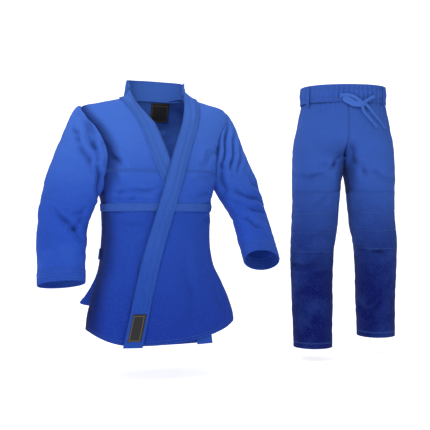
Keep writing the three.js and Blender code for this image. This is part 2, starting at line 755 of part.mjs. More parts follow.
// Legs: tubes from the crotch to the hem, each with its own stride
const legCentre = through(
  [0, legCentreHem],
  [calfHeight, legCentreCalf],
  [kneeHeight, legCentreKnee],
  [crotchHeight, legGap + legHalfTop],
);
const legHalf = through(
  [0, legHalfHem],
  [calfHeight, legHalfCalf],
  [kneeHeight, legHalfKnee],
  [crotchHeight, legHalfTop],
);
const legDepth = through([0, legDepthHem], [kneeHeight, legDepthKnee], [crotchHeight, legDepthTop]);
function legCurve(side) {
  return (angle, height) => {
    const roundness = lerp(1, 0.75, smoothstep(height, kneeHeight, crotchHeight));
    const x = legCentre(height) + legHalf(height) * power(Math.cos(angle), roundness);
    const y = 4 + legDepth(height) * power(Math.sin(angle), roundness);
    const down = 1 - height / seatBottom;
    const hem = new THREE.Vector3(legOut[side], legStride[side], legRaise[side]);
    return new THREE.Vector3(x, y, height).addScaledVector(hem, down);
  };
}
const legRound = 20;
const patchTop = kneeHeight + kneePatchHeight / 2;
const patchBottom = kneeHeight - kneePatchHeight / 2;
const legBands = [
  ['hip_fold', [seatBottom - 2 * hipFold, seatBottom - hipFold, seatBottom - seamGap]],
  ['thigh', [kneeHeight + kneeFold, patchTop, seatBottom - 2 * hipFold - seamGap]],
  ['knee_fold', [kneeHeight - kneeFold, kneeHeight, kneeHeight + kneeFold - seamGap]],
  ['shin', [0, patchBottom / 2, patchBottom, kneeHeight - kneeFold - seamGap]],
];
const patchLevels = [patchBottom, kneeHeight - kneeFold, kneeHeight, kneeHeight + kneeFold, patchTop];
for (const side of ['left', 'right']) {
  const onLeg = (angle, height, out) => above(legCurve(side), angle, height, out);
  const placed = (place) => (side === 'left' ? place : mirrored(place));
  for (const [band, rows] of legBands) {
    const place = (u, v, face) => onLeg(2 * Math.PI * u, levels(rows)(v), trouserWall * face);
    add(trousers, `${band}_${side}`, tube(placed(place), legRound, rows.length - 1), materials.trousers);
  }
  const patch = (u, v, face) => {
    const height = levels(patchLevels)(v);
    const angle = -quarter + degToRad(kneePatchSpan) * (2 * u - 1);
    return onLeg(angle, height, trouserWall + layerGap / 2 + trouserWall * face);
  };
  add(trousers, `knee_patch_${side}`, sheet(placed(patch), 8, patchLevels.length - 1), materials.trousers);
}

jacket.rotation.z = degToRad(jacketTurn);
trousers.position.set(...trouserShift);
const uniform = new THREE.Group();
uniform.add(jacket, trousers);
uniform.position.set(0, 0, -neckHeight);

export default uniform;
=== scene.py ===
# Martial arts uniform: a wrap jacket and drawstring trousers, filled out as if worn.
import math
import bpy
import bmesh
import numpy as np
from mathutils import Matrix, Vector, noise


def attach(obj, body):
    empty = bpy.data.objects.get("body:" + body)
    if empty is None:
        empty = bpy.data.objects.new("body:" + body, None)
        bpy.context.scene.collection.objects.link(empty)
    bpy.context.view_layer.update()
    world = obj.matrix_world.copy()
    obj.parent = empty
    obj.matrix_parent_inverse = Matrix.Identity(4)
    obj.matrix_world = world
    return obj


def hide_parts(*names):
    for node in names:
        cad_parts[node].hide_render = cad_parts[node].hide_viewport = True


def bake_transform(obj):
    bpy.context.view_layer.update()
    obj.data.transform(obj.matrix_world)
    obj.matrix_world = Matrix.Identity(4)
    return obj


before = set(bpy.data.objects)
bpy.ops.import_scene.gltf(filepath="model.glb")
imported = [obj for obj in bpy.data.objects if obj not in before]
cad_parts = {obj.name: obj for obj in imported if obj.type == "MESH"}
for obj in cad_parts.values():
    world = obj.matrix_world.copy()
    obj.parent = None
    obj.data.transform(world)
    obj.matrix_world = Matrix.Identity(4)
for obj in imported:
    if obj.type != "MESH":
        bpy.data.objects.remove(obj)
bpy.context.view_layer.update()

# camera, light and floor
view = {"place": (0.195, -2.6, -0.38), "lens": 67, "sensor": 36}
studio = {"floor": -0.9, "back": 6.5, "key": 50, "fill": 7, "rim": 18, "sky": 0.36, "glow": 0.66}

scene = bpy.context.scene
cameraData = bpy.data.cameras.new("camera")
cameraData.lens, cameraData.sensor_width = view["lens"], view["sensor"]
camera = bpy.data.objects.new("camera", cameraData)
camera.location = view["place"]
camera.rotation_euler = (math.pi / 2, 0, 0)
scene.collection.objects.link(camera)
scene.camera = camera
scene.view_settings.view_transform = "Standard"
print("camera placed")


# helpers for smooth outlines
def through(*stations):
    # smooth curve through (place, value) stations, for arrays
    places = np.array([s[0] for s in stations], float)
    values = np.array([s[1] for s in stations], float)
    before, after = np.roll(values, 1), np.roll(values, -1)
    before[0], after[-1] = values[0], values[-1]
    gapBefore, gapAfter = np.roll(places, 1), np.roll(places, -1)
    gapBefore[0], gapAfter[-1] = places[0], places[-1]
    slopes = (after - before) / (gapAfter - gapBefore)

    def at(place):
        place = np.clip(np.asarray(place, float), places[0], places[-1])
        i = np.clip(np.searchsorted(places, place, side="right") - 1, 0, len(places) - 2)
        span = places[i + 1] - places[i]
        t = (place - places[i]) / span
        bend = t * (1 - t) * ((1 - t) * slopes[i] - t * slopes[i + 1]) * span
        return values[i] + (values[i + 1] - values[i]) * t * t * (3 - 2 * t) + bend

    return at


def smoothstep(x, low, high):
    t = np.clip((np.asarray(x, float) - low) / (high - low), 0, 1)
    return t * t * (3 - 2 * t)


def lerp(a, b, t):
    return a + (b - a) * t


def signedPower(x, power):
    return np.sign(x) * np.abs(x) ** power


def unit(v):
    return v / np.maximum(np.linalg.norm(v, axis=-1, keepdims=True), 1e-12)


def points(*columns):
    return np.stack(np.broadcast_arrays(*columns), axis=-1)


def lumps(place, size, seed=0.0):
    # soft noise from -1 to 1 at places in metres, with lumps of a size
    scaled = place / size + seed * 7.31
    return np.array([noise.noise(Vector(p)) for p in scaled.reshape(-1, 3)]).reshape(place.shape[:-1])


def fold(place, normal, start, end, width, depth, back=False):
    # a crease between two (x, z) places on the front or the back: a valley with raised flanks and faded ends
    a, b = np.array(start, float), np.array(end, float)
    flat = place[:, [0, 2]]
    along = (flat - a) @ (b - a) / ((b - a) @ (b - a))
    t = np.clip(along, 0, 1)
    offset = flat - (a + t[:, None] * (b - a))
    away = np.linalg.norm(offset, axis=-1)
    facing = smoothstep(normal[:, 1] * (1 if back else -1), -0.15, 0.35)
    fade = np.sin(math.pi * np.clip(0.1 + 0.8 * t, 0, 1)) ** 0.8
    wander = 0.35 * width * np.sin(along * 9 + a[0] * 70 + a[1] * 31)
    turned = (offset[:, 0] * (b - a)[1] - offset[:, 1] * (b - a)[0]) / np.linalg.norm(b - a)
    away = np.where((along > 0) & (along < 1), np.abs(turned + wander), away)
    slim = width * (0.45 + 0.55 * np.sin(math.pi * np.clip(0.15 + 0.7 * t, 0, 1)))
    valley = np.exp(-np.abs(away / slim) ** 1.4)
    ridge = np.exp(-(((away - 1.9 * slim) / (1.1 * slim)) ** 2))
    return depth * fade * facing * (0.65 * ridge - valley)


# cloth pieces
def clothPiece(name, place, columns, rows, wall, material, wrap=False, relief=None, extraShade=None,
               limits=(-1, 1), out=None):
    # place(u, v) is the cloth's outer face, and relief(u, v, points) lifts it along its normal
    mesh = bmesh.new()
    bmesh.ops.create_grid(mesh, x_segments=columns, y_segments=rows, size=0.5)
    mesh.verts.ensure_lookup_table()
    flat = np.array([v.co for v in mesh.verts])
    u, v = flat[:, 0] + 0.5, flat[:, 1] + 0.5
    step = 1e-3
    here = place(u, v)
    du = place(np.minimum(u + step, 1), v) - place(np.maximum(u - step, 0), v)
    if wrap:
        du = place((u + step) % 1, v) - place((u - step) % 1, v)
    dv = place(u, np.minimum(v + step, 1)) - place(u, np.maximum(v - step, 0))
    normal = unit(np.cross(du, dv))
    if wrap:
        rowOf = np.rint(v * rows).astype(int)
        middle = np.stack([np.bincount(rowOf, here[:, k]) / np.bincount(rowOf) for k in range(3)],
                          axis=1)[rowOf]
        away = here - middle
    else:
        away = here * (1, 1, 0) if out is None else out(here)
    inside = (normal * away).sum(axis=1).mean() < 0
    if inside:
        normal = -normal
        bmesh.ops.reverse_faces(mesh, faces=mesh.faces)
    lift = np.zeros(len(u)) if relief is None else relief(u, v, here, normal)
    here = here + normal * np.clip(lift, *limits)[:, None]
    i = np.rint(u * columns).astype(int)
    j = np.rint(v * rows).astype(int)
    grid = np.zeros((columns + 1, rows + 1, 3))
    grid[i, j] = here
    across = np.linalg.norm(np.diff(grid, axis=0), axis=2).cumsum(axis=0).mean(axis=1)
    along = np.linalg.norm(np.diff(grid, axis=1), axis=2).cumsum(axis=1).mean(axis=0)
    across, along = np.insert(across, 0, 0), np.insert(along, 0, 0)
    layer = mesh.loops.layers.uv.new("cloth")
    for vert, point, a, b in zip(mesh.verts, here, across[i], along[j]):
        vert.co = point
        for corner in vert.link_loops:
            corner[layer].uv = (a, b)
    order = np.arange(len(u))
    if wrap:
        kept = mesh.verts.layers.int.new("order")
        for index, vert in enumerate(mesh.verts):
            vert[kept] = index
        bmesh.ops.remove_doubles(mesh, verts=mesh.verts, dist=1e-6)
        order = np.array([vert[kept] for vert in mesh.verts])
    for face in mesh.faces:
        face.smooth = True
    # painted shade: the colour is darkened in crease valleys, where the lift is low, and wherever the extra
    # shade function adds more; it is kept in the shade attribute
    deep = mesh.verts.layers.float.new("shade")
    shade = 0.8 * np.clip(-(lift + 0.001) / 0.011, 0, 1) ** 1.2 + (0 if extraShade is None else extraShade(u, v, here))
    for vert, value in zip(mesh.verts, shade[order] if wrap else shade):
        vert[deep] = min(float(value), 1)
    data = bpy.data.meshes.new(name)
    mesh.to_mesh(data)
    mesh.free()
    data.materials.append(material)
    piece = bpy.data.objects.new(name, data)
    scene.collection.objects.link(piece)
    if wall:
        solid = piece.modifiers.new("wall", "SOLIDIFY")
        solid.thickness, solid.offset = wall, -1
        solid.use_even_offset = False
    widths = np.linalg.norm(np.diff(grid, axis=0), axis=2)
    lengths = np.linalg.norm(np.diff(grid, axis=1), axis=2)
    flat = (float(widths.sum(axis=0).max()), float(lengths.sum(axis=1).max()))
    return piece


# cloth materials
class Socket:
    # one output of a shader node, with arithmetic
    def __init__(self, maker, link):
        self.maker, self.link = maker, link

    def math(self, operation, *others):
        values = [o.link if isinstance(o, Socket) else o for o in (self, *others)]
        return self.maker.node("ShaderNodeMath", {"operation": operation}, dict(enumerate(values)))

    def __add__(self, other):
        return self.math("ADD", other)

    def __sub__(self, other):
        return self.math("SUBTRACT", other)

    def __mul__(self, other):
        return self.math("MULTIPLY", other)

    def __rsub__(self, other):
        return (self * -1) + other

    __radd__, __rmul__ = __add__, __mul__

    def wave(self, period):
        return (self * (2 * math.pi / period)).math("SINE")

    def band(self, middle, half):
        # 1 within half of the middle, else 0, with soft edges
        off = (self - middle).math("ABSOLUTE")
        return self.maker.node(
            "ShaderNodeMapRange", {"clamp": True},
            {"Value": off.link, "From Min": half * 1.25, "From Max": half * 0.75, "To Min": 0.0,
             "To Max": 1.0},
        )


class Finish:
    # a material under construction
    def __init__(self, name):
        self.material = bpy.data.materials.new(name)
        self.material.use_nodes = True
        self.tree = self.material.node_tree
        self.shader = self.tree.nodes["Principled BSDF"]

    def node(self, kind, settings=None, values=None, output=0):
        made = self.tree.nodes.new(kind)
        for key, value in (settings or {}).items():
            if key == "stops":
                ramp = made.color_ramp
                for stop, (at, colour) in zip(ramp.elements, value):
                    stop.position, stop.color = at, (*colour, 1)
            else:
                setattr(made, key, value)
        for key, value in (values or {}).items():
            if isinstance(value, Socket):
                value = value.link
            if isinstance(value, bpy.types.NodeSocket):
                self.tree.links.new(value, made.inputs[key])
            elif value is not None:
                made.inputs[key].default_value = value
        return Socket(self, made.outputs[output])

    def uv(self, name="cloth"):
        layer = self.node("ShaderNodeUVMap", {"uv_map": name})
        parts = self.node("ShaderNodeSeparateXYZ", None, {0: layer})
        splitter = parts.link.node
        return layer, Socket(self, splitter.outputs[0]), Socket(self, splitter.outputs[1])

    def height(self):
        place = self.node("ShaderNodeTexCoord", output="Object")
        splitter = self.node("ShaderNodeSeparateXYZ", None, {0: place}).link.node
        return place, Socket(self, splitter.outputs[2])

    def set(self, **sockets):
        names = {"roughness": "Roughness", "sheen": "Sheen Weight", "sheenRoughness": "Sheen Roughness",
                 "sheenTint": "Sheen Tint", "specular": "Specular IOR Level"}
        for key, value in sockets.items():
            self.shader.inputs[names[key]].default_value = value

    def colour(self, socket):
        self.tree.links.new(socket.link, self.shader.inputs["Base Color"])

    def bump(self, height, distance, strength=1.0):
        bumped = self.node("ShaderNodeBump", None,
                           {"Height": height, "Distance": distance, "Strength": strength})
        self.tree.links.new(bumped.link, self.shader.inputs["Normal"])

    def mix(self, factor, first, second, blend="MIX"):
        made = self.tree.nodes.new("ShaderNodeMix")
        made.data_type, made.blend_type = "RGBA", blend
        for index, value in ((0, factor), (6, first), (7, second)):
            if isinstance(value, Socket):
                self.tree.links.new(value.link, made.inputs[index])
            else:
                made.inputs[index].default_value = value if index == 0 else (*value, 1)
        return Socket(self, made.outputs[2])


# colours are linear: the pale top, the middle, and the deeper blue of the lower parts, partly dye and partly
# painted shade from the light above; the darkest is painted shade for creases and turned-away parts
dyeAndShade = {
    "pale": (0.055, 0.150, 0.58),
    "royal": (0.019, 0.070, 0.44),
    "deep": (0.003, 0.007, 0.12),
    "paintedShade": (0.001, 0.002, 0.045),
    "thread": (0.085, 0.20, 0.64),
}


def clothFinish(name, weave, grain, depth, top, low, span, stitches=(), stitchesAcross=(), pale=1.0):
    # A dyed cloth, with painted shade in its colour: grain is the weave's size, span the heights of the low
    # and top colour, stitches the rows at a fixed width place and stitchesAcross the rows at a fixed length
    # place, in metres
    finish = Finish(name)
    layer, across, along = finish.uv()
    place, height = finish.height()
    if weave == "rice":  # staggered grains, each row half a grain over
        cells = finish.node("ShaderNodeVectorMath", {"operation": "MULTIPLY"},
                            {0: layer, 1: (1 / grain, 1.7 / grain, 0)})
        kernel = finish.node(
            "ShaderNodeTexVoronoi", {"feature": "F1", "distance": "EUCLIDEAN"},
            {"Vector": cells, "Scale": 1.0, "Randomness": 0.35},
        )
        surface = 1 - kernel
    elif weave == "diamond":
        surface = (across.wave(grain) * along.wave(grain * 1.4)).math("ABSOLUTE")
    elif weave == "rib":
        surface = across.wave(grain) * 0.7 + along.wave(grain * 0.6) * 0.3
    else:
        surface = (across + along * 0.8).wave(grain) * 0.8 + across.wave(grain * 0.5) * 0.2
    cloud = finish.node("ShaderNodeTexNoise", None,
                        {"Vector": place, "Scale": 9.0, "Detail": 3.0, "Roughness": 0.6})
    slub = finish.node("ShaderNodeTexNoise", None, {"Vector": place, "Scale": 260.0, "Detail": 2.0})
    # painted shade: the colour runs from low below to top above over the span of heights, partly dye and
    # partly the shade of light falling from above
    fade = finish.node(
        "ShaderNodeMapRange", {"interpolation_type": "SMOOTHSTEP"},
        {"Value": height, "From Min": span[0], "From Max": span[1]},
    )
    base = finish.mix(fade, low, top)
    base = finish.mix((cloud - 0.47) * 0.9, base, [c * 1.12 for c in top])
    # painted shade: the colour darkens in the weave's crevices, between the grains
    crevice = finish.node("ShaderNodeMapRange", None, {"Value": surface, "From Min": 0.0, "From Max": 0.8})
    base = finish.mix((1 - crevice) * 0.38, base, [c * 0.42 for c in low])
    base = finish.mix((slub - 0.5) * 0.7, base, dyeAndShade["pale"])
    # painted shade: the shade attribute darkens the colour in crease valleys and in parts turned from the
    # light or tucked between others
    shade = finish.node("ShaderNodeAttribute", {"attribute_name": "shade"}, output="Fac")
    base = finish.mix(shade * 0.8, base, dyeAndShade["paintedShade"])
    relief = surface
    rows = [across.band(at, 0.0007) * along.wave(0.0052).math("GREATER_THAN", -0.35) for at in stitches]
    rows += [along.band(at, 0.0007) * across.wave(0.0052).math("GREATER_THAN", -0.35)
             for at in stitchesAcross]
    grooves = [across.band(at, 0.0016) for at in stitches] + [along.band(at, 0.0016) for at in stitchesAcross]
    # painted shade: the colour darkens in the groove along each stitch row; the row itself is the paler
    # thread
    for row, groove in zip(rows, grooves):
        relief = relief - groove * 1.6 + row * 1.4
        base = finish.mix(groove * 0.35, base, [c * 0.5 for c in low])
        base = finish.mix(row * 0.55 * pale, base, dyeAndShade["thread"])
    finish.colour(base)
    finish.bump(relief, depth, 0.8)
    finish.set(roughness=0.9, sheen=0.08, sheenRoughness=0.5, sheenTint=(0.35, 0.55, 1, 1), specular=0.06)
    return finish.material


weaves = {
    "jacket": dict(weave="rice", grain=0.0042, depth=0.0008, top=dyeAndShade["pale"], low=dyeAndShade["royal"],
                   span=(-0.42, -0.05)),
    "skirt": dict(weave="diamond", grain=0.0036, depth=0.0005, top=(0.020, 0.070, 0.44),
                  low=(0.011, 0.040, 0.34),
                  span=(-0.78, -0.40)),
    "lapel": dict(weave="rib", grain=0.0026, depth=0.0004, top=(0.062, 0.165, 0.60), low=(0.020, 0.075, 0.44),
                  span=(-0.7, -0.05)),
    "trousers": dict(weave="twill", grain=0.0022, depth=0.0003, top=(0.050, 0.135, 0.56), low=dyeAndShade["deep"],
                     span=(-0.66, -0.14)),
}
print("dyes mixed")

# the jacket's surface
jacket = {
    "turn": math.radians(22), "foot": -0.806, "shoulder": 0.765, "neckRise": 0.041, "yokeDrop": 0.2,
    "armholeDrop": 0.275, "waistDrop": 0.315, "ventDrop": 0.485, "fold": 0.032, "shoulderHalf": 0.24,
    "chestHalf": 0.202, "waistHalf": 0.173, "hipHalf": 0.179, "hemHalfLeft": 0.262, "hemHalfRight": 0.232,
    "neckHalf": 0.088, "chestDepth": 0.112, "waistDepth": 0.122, "hemDepth": 0.146, "neckFront": 0.028,
    "neckBack": 0.066, "roundness": 0.85, "armholeSpread": math.radians(38), "wall": 0.0026,
    "overLift": 0.008, "lapelWidth": 0.055, "lapelLap": 0.014, "collarHeight": 0.05, "collarLean": 0.008,
    "lapelHem": 0.026, "ventFlare": 0.112, "hemFront": 0.092, "hemSide": 0.066, "hemBack": 0.14,
}
neckHeight = jacket["shoulder"] + jacket["neckRise"]
yokeSeam = jacket["shoulder"] - jacket["yokeDrop"]
armpit = jacket["shoulder"] - jacket["armholeDrop"]
waistSeam = jacket["shoulder"] - jacket["waistDrop"]
ventTop = jacket["shoulder"] - jacket["ventDrop"]
flapTop = ventTop - jacket["fold"]
shoulderUpper = jacket["shoulder"] - 0.3 * jacket["yokeDrop"]
halfUpper = [
    (ventTop, jacket["hipHalf"]), (waistSeam, jacket["waistHalf"]), (yokeSeam, jacket["chestHalf"]),
    (shoulderUpper, lerp(jacket["chestHalf"], jacket["shoulderHalf"], 0.85)),
    (jacket["shoulder"], jacket["shoulderHalf"]),
    (jacket["shoulder"] + 0.37 * jacket["neckRise"], lerp(jacket["shoulderHalf"], jacket["neckHalf"], 0.37)),
    (jacket["shoulder"] + 0.73 * jacket["neckRise"], lerp(jacket["shoulderHalf"], jacket["neckHalf"], 0.76)),
    (neckHeight, jacket["neckHalf"]),
]
halfLeft = through((0, jacket["hemHalfLeft"]), (0.4 * ventTop, jacket["hemHalfLeft"] - 0.008), *halfUpper)
halfRight = through((0, jacket["hemHalfRight"]), (0.4 * ventTop, jacket["hemHalfRight"] - 0.008), *halfUpper)
depthFront = through(
    (0, jacket["hemDepth"]), (ventTop, jacket["waistDepth"]), (waistSeam, jacket["waistDepth"]),
    (yokeSeam, jacket["chestDepth"] + 0.006),
    (shoulderUpper, 0.78 * jacket["chestDepth"]), (jacket["shoulder"], 0.55 * jacket["chestDepth"]),
    (neckHeight, jacket["neckFront"]),
)
depthBack = through(
    (0, jacket["hemDepth"]), (ventTop, jacket["waistDepth"] - 0.01),
    (waistSeam, jacket["waistDepth"] - 0.014),
    (yokeSeam, jacket["chestDepth"]), (shoulderUpper, 0.94 * jacket["chestDepth"]),
    (jacket["shoulder"], 0.72 * jacket["chestDepth"]),
    (neckHeight, jacket["neckBack"]),
)


def jacketCurve(angle, height):
    c, s = np.cos(angle), np.sin(angle)
    half = np.where(c > 0, halfLeft(height), halfRight(height))
    depth = np.where(s > 0, depthBack(height), depthFront(height))
    return points(half * signedPower(c, jacket["roundness"]), depth * signedPower(s, jacket["roundness"]),
                  height)


def above(surface, a, b, out):
    # a point that stands out above a surface
    along = surface(a + 1e-4, b) - surface(a - 1e-4, b)
    up = surface(a, b + 1e-4) - surface(a, b - 1e-4)
    return surface(a, b) + unit(np.cross(along, up)) * np.asarray(out)[..., None]


def onJacket(angle, height, out=0.0):
    return above(jacketCurve, angle, height, np.broadcast_to(out, np.shape(angle)))


def jacketWorld(place):
    c, s = math.cos(jacket["turn"]), math.sin(jacket["turn"])
    return points(place[..., 0] * c - place[..., 1] * s, place[..., 0] * s + place[..., 1] * c,
                  place[..., 2] + jacket["foot"])


def frontAngle(x, height):
    half = np.where(x > 0, halfLeft(height), halfRight(height))
    share = np.minimum(np.abs(x) / half, 1) ** (1 / jacket["roundness"])
    return -np.arccos(np.sign(x) * share)


crossHeight = yokeSeam + 0.039
freeLeft = through(
    (0, -0.145), (ventTop, -0.08), (waistSeam, -0.032), (crossHeight, 0.016),
    (yokeSeam + 0.84 * jacket["yokeDrop"], 0.065), (neckHeight, jacket["neckHalf"] - 0.01),
)
freeRight = through(
    (0, -0.15), (ventTop, -0.112), (waistSeam, -0.068), (crossHeight, -0.012),
    (yokeSeam + 0.84 * jacket["yokeDrop"], 0.036), (neckHeight, jacket["neckHalf"] - 0.01),
)


def armholeAngle(height):
    share = np.clip((height - armpit) / jacket["armholeDrop"], 0, 1)
    return jacket["armholeSpread"] * np.sin(math.pi * share) ** 0.7


def raised(angle):
    return jacket["overLift"] * smoothstep(-angle, math.radians(4), math.radians(30))


def seamWelt(height, at, wide, lift):
    # the extra layers of a seam at a height
    return lift * np.exp(-(((height - at) / wide) ** 4))


# creases in the jacket's own frame: start and end as (x, z), width, depth, and which are behind
bodyFolds = [
    ((-0.190, 0.650), (-0.130, 0.570), 0.012, 0.0075),
    ((-0.152, 0.600), (-0.143, 0.470), 0.014, 0.0035),
    ((-0.150, 0.496), (-0.020, 0.508), 0.008, 0.0050),
    ((-0.155, 0.474), (-0.030, 0.472), 0.007, 0.0040),
    ((-0.150, 0.425), (-0.040, 0.432), 0.008, 0.0042),
    ((-0.145, 0.405), (-0.060, 0.398), 0.009, 0.0040),
    ((-0.165, 0.350), (-0.100, 0.480), 0.012, 0.0035),
    ((0.180, 0.640), (0.120, 0.580), 0.012, 0.0060),
    ((0.175, 0.560), (0.090, 0.535), 0.010, 0.0045),
    ((0.165, 0.500), (0.075, 0.480), 0.009, 0.0042),
    ((0.160, 0.425), (0.060, 0.410), 0.009, 0.0040),
    ((0.150, 0.470), (0.158, 0.360), 0.011, 0.0045),
    ((-0.175, 0.600), (-0.070, 0.500), 0.014, 0.0065, True),
    ((0.175, 0.600), (0.070, 0.500), 0.014, 0.0065, True),
    ((-0.100, 0.475), (0.110, 0.480), 0.010, 0.0045, True),
    ((-0.120, 0.415), (0.120, 0.422), 0.010, 0.0045, True),
    ((-0.060, 0.700), (0.070, 0.690), 0.013, 0.0040, True),
]


def bodyRelief(u, v, place, normal):
    height = place[:, 2]
    lift = 0.0032 * lumps(place * (1, 1, 0.8), 0.11, 1) + 0.0014 * lumps(place * (1, 1, 2.2), 0.045, 2)
    lift += seamWelt(height, yokeSeam, 0.004, 0.0010) - seamWelt(height, yokeSeam + 0.007, 0.002, 0.0009)
    near = np.exp(-(((height - waistSeam) / 0.05) ** 2))
    lift += 0.0016 * near * lumps(place * (0.6, 0.6, 3), 0.02, 3)  # small puckers beside the waist seam
    for crease in bodyFolds:
        lift += fold(place, normal, *crease)
    return lift


# painted shade: the fronts darken in colour towards their side seams, most where x is negative, the side that
# turns from the light under the sleeve
def sideShade(u, v, place):
    return 0.85 * (1 - smoothstep(u, 0.10, 0.40)) * smoothstep(-place[:, 0], 0.0,
                                                               0.08) + 0.5 * (1 - smoothstep(u, 0, 0.1))


skirtFolds = [
    ((-0.120, 0.350), (-0.150, 0.120), 0.016, 0.0040),
    ((-0.080, 0.330), (-0.105, 0.080), 0.014, 0.0035),
    ((-0.145, 0.405), (-0.045, 0.385), 0.009, 0.0040),
    ((-0.135, 0.360), (-0.060, 0.372), 0.009, 0.0030),
    ((0.110, 0.380), (0.150, 0.150), 0.018, 0.0030),
    ((0.050, 0.340), (0.075, 0.080), 0.018, 0.0025),
    ((0.150, 0.250), (0.200, 0.110), 0.014, 0.0045),
    ((0.165, 0.430), (0.110, 0.390), 0.009, 0.0035),
    ((-0.090, 0.400), (-0.110, 0.170), 0.016, 0.0060, True),
    ((0.020, 0.410), (0.030, 0.180), 0.016, 0.0055, True),
    ((0.100, 0.400), (0.130, 0.190), 0.015, 0.0060, True),
]


def skirtRelief(u, v, place, normal):
    down = np.clip(1 - place[:, 2] / waistSeam, 0, 1)
    lift = (0.002 + 0.004 * down) * lumps(place * (1, 1, 0.45), 0.10, 5)
    lift += 0.0012 * lumps(place, 0.04, 6) + 0.0012 * (1 - smoothstep(v, 0.0, 0.012)) * smoothstep(v, 0,
        0.002)
    for crease in skirtFolds:
        lift += fold(place, normal, *crease)
    return lift


def unturned(vector):
    c, s = math.cos(jacket["turn"]), math.sin(jacket["turn"])
    return points(vector[:, 0] * c + vector[:, 1] * s, vector[:, 1] * c - vector[:, 0] * s, vector[:, 2])


def localised(relief):
    # reliefs are written in the jacket's own frame
    def inWorld(u, v, place, normal):
        return relief(u, v, unturned(place) - np.array([0, 0, jacket["foot"]]), unturned(normal))
    return inWorld


jacketCloth = clothFinish("riceGrain", **weaves["jacket"], stitchesAcross=(0.122, 0.128))
skirtCloth = clothFinish("diamondWeave", **weaves["skirt"], stitchesAcross=(0.004, 0.012))
lapelCloth = clothFinish("lapelTwill", **weaves["lapel"], stitches=(0.003, 0.0275, 0.0455, 0.052), pale=0.6)


def panelPlace(near, far, low, high, lifted=lambda a: 0.0):
    # a panel from its side seam, u 0, to its far edge, u 1
    def place(u, v):
        height = lerp(low(u), high, v)
        angle = lerp(near(height), far(height), u)
        return jacketWorld(onJacket(angle, height, jacket["wall"] + lifted(angle)))
    return place


def frontNear(height):
    return -armholeAngle(height)


def panelEdge(free, half):
    return lambda height: np.minimum(free(height) + jacket["lapelWidth"] - jacket["lapelLap"],
                                     half(height) - 0.012)


overEdge, underEdge = panelEdge(freeLeft, halfLeft), panelEdge(freeRight, halfLeft)
sides = {
    "left": dict(near=frontNear, far=lambda h: frontAngle(overEdge(h), h), lifted=raised),
    "right": dict(near=lambda h: -math.pi - frontNear(h), far=lambda h: frontAngle(-underEdge(h), h)),
}
hemCurves = {
    "left": lambda u: lerp(jacket["hemFront"], jacket["lapelHem"], smoothstep(u, 0, 0.9)),
    "right": lambda u: lerp(jacket["hemSide"], jacket["lapelHem"], smoothstep(u, 0, 0.6)),
    "back": lambda u: jacket["hemBack"] - 0.02 * np.sin(math.pi * u),
}
# between what lies under and over each panel
roomFor = {"left": (-0.0007, 0.0042), "right": (-0.012, 0.0026)}

for side, edges in sides.items():
    upper = panelPlace(low=lambda u: waistSeam + 0 * u, high=neckHeight - 0.004, **edges)
    piece = clothPiece(f"jacketFront_{side}", upper, 70, 110, jacket["wall"], jacketCloth,
                       relief=localised(bodyRelief), extraShade=sideShade,
                       limits=roomFor[side])
    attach(piece, "garment_body")
    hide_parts(f"front_yoke_{side}", f"front_body_{side}")
    lower = panelPlace(low=hemCurves[side], high=waistSeam, **edges)
    piece = clothPiece(f"skirtFront_{side}", lower, 80, 130, jacket["wall"], skirtCloth,
                       relief=localised(skirtRelief), extraShade=sideShade,
                       limits=roomFor[side])
    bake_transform(piece)
    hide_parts(f"front_skirt_{side}", f"front_fold_{side}", f"front_flap_{side}")

backNear, backFar = (lambda h: armholeAngle(h)), (lambda h: math.pi - armholeAngle(h))
backUpper = panelPlace(backNear, backFar, lambda u: waistSeam + 0 * u, neckHeight)
piece = clothPiece("jacketBack", backUpper, 110, 110, jacket["wall"], jacketCloth,
                   relief=localised(bodyRelief))
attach(piece, "garment_body")
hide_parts("back_yoke", "back_body")
backLower = panelPlace(backNear, backFar, hemCurves["back"], waistSeam)


def backHanging(u, v):
    place = backLower(u, v)
    rise = place[..., 2] - jacket["foot"]
    share = np.clip((rise - hemCurves["back"](u)) / (flapTop - hemCurves["back"](u)), 0, 1)
    out = jacket["ventFlare"] * (1 - share) ** 1.3 * (1 - np.sin(math.pi * u)) ** 1.6
    place[..., 0] -= out * math.sin(jacket["turn"])
    place[..., 1] += out * math.cos(jacket["turn"])
    return place


piece = clothPiece("skirtBack", backHanging, 120, 120, jacket["wall"], skirtCloth,
                   relief=localised(skirtRelief))
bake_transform(piece)
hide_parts("back_skirt", "back_fold", "back_flap")

tapes = {
    "left": dict(near=lambda h: frontNear(h),
                 far=lambda h: frontAngle(freeLeft(h) + jacket["lapelWidth"] - 0.012, h),
                 lifted=lambda a: raised(a) + 0.0028),
    "right": dict(near=lambda h: -math.pi - frontNear(h), far=lambda h: frontAngle(freeLeft(h) + 0.004, h),
                  lifted=lambda a: 0.0028),
    "back": dict(near=lambda h: armholeAngle(h), far=lambda h: math.pi - armholeAngle(h),
                 lifted=lambda a: 0.0028),
}
tapeCloth = clothFinish("waistTwill", **weaves["lapel"], stitchesAcross=(0.004, 0.009, 0.016, 0.021),
                        pale=1.1)


def tapeRelief(u, v, place, normal):
    follow = localised(bodyRelief)(u, v, place, normal)
    return follow + 0.0006 * lumps(place * (1, 1, 3), 0.018,
                                   40) - 0.0012 * (1 - smoothstep(np.minimum(v, 1 - v), 0, 0.12))


for name, edges in tapes.items():
    tapeAt = panelPlace(low=lambda u: waistSeam - 0.0125 + 0 * u, high=waistSeam + 0.0125, **edges)
    piece = clothPiece(f"waistTape_{name}", tapeAt, 110, 10, 0.0016, tapeCloth, relief=tapeRelief,
                       limits=roomFor.get(name, (-1, 1)))
    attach(piece, "garment_body")
    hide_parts(f"waist_tape_{name}")
print("jacket panels made")

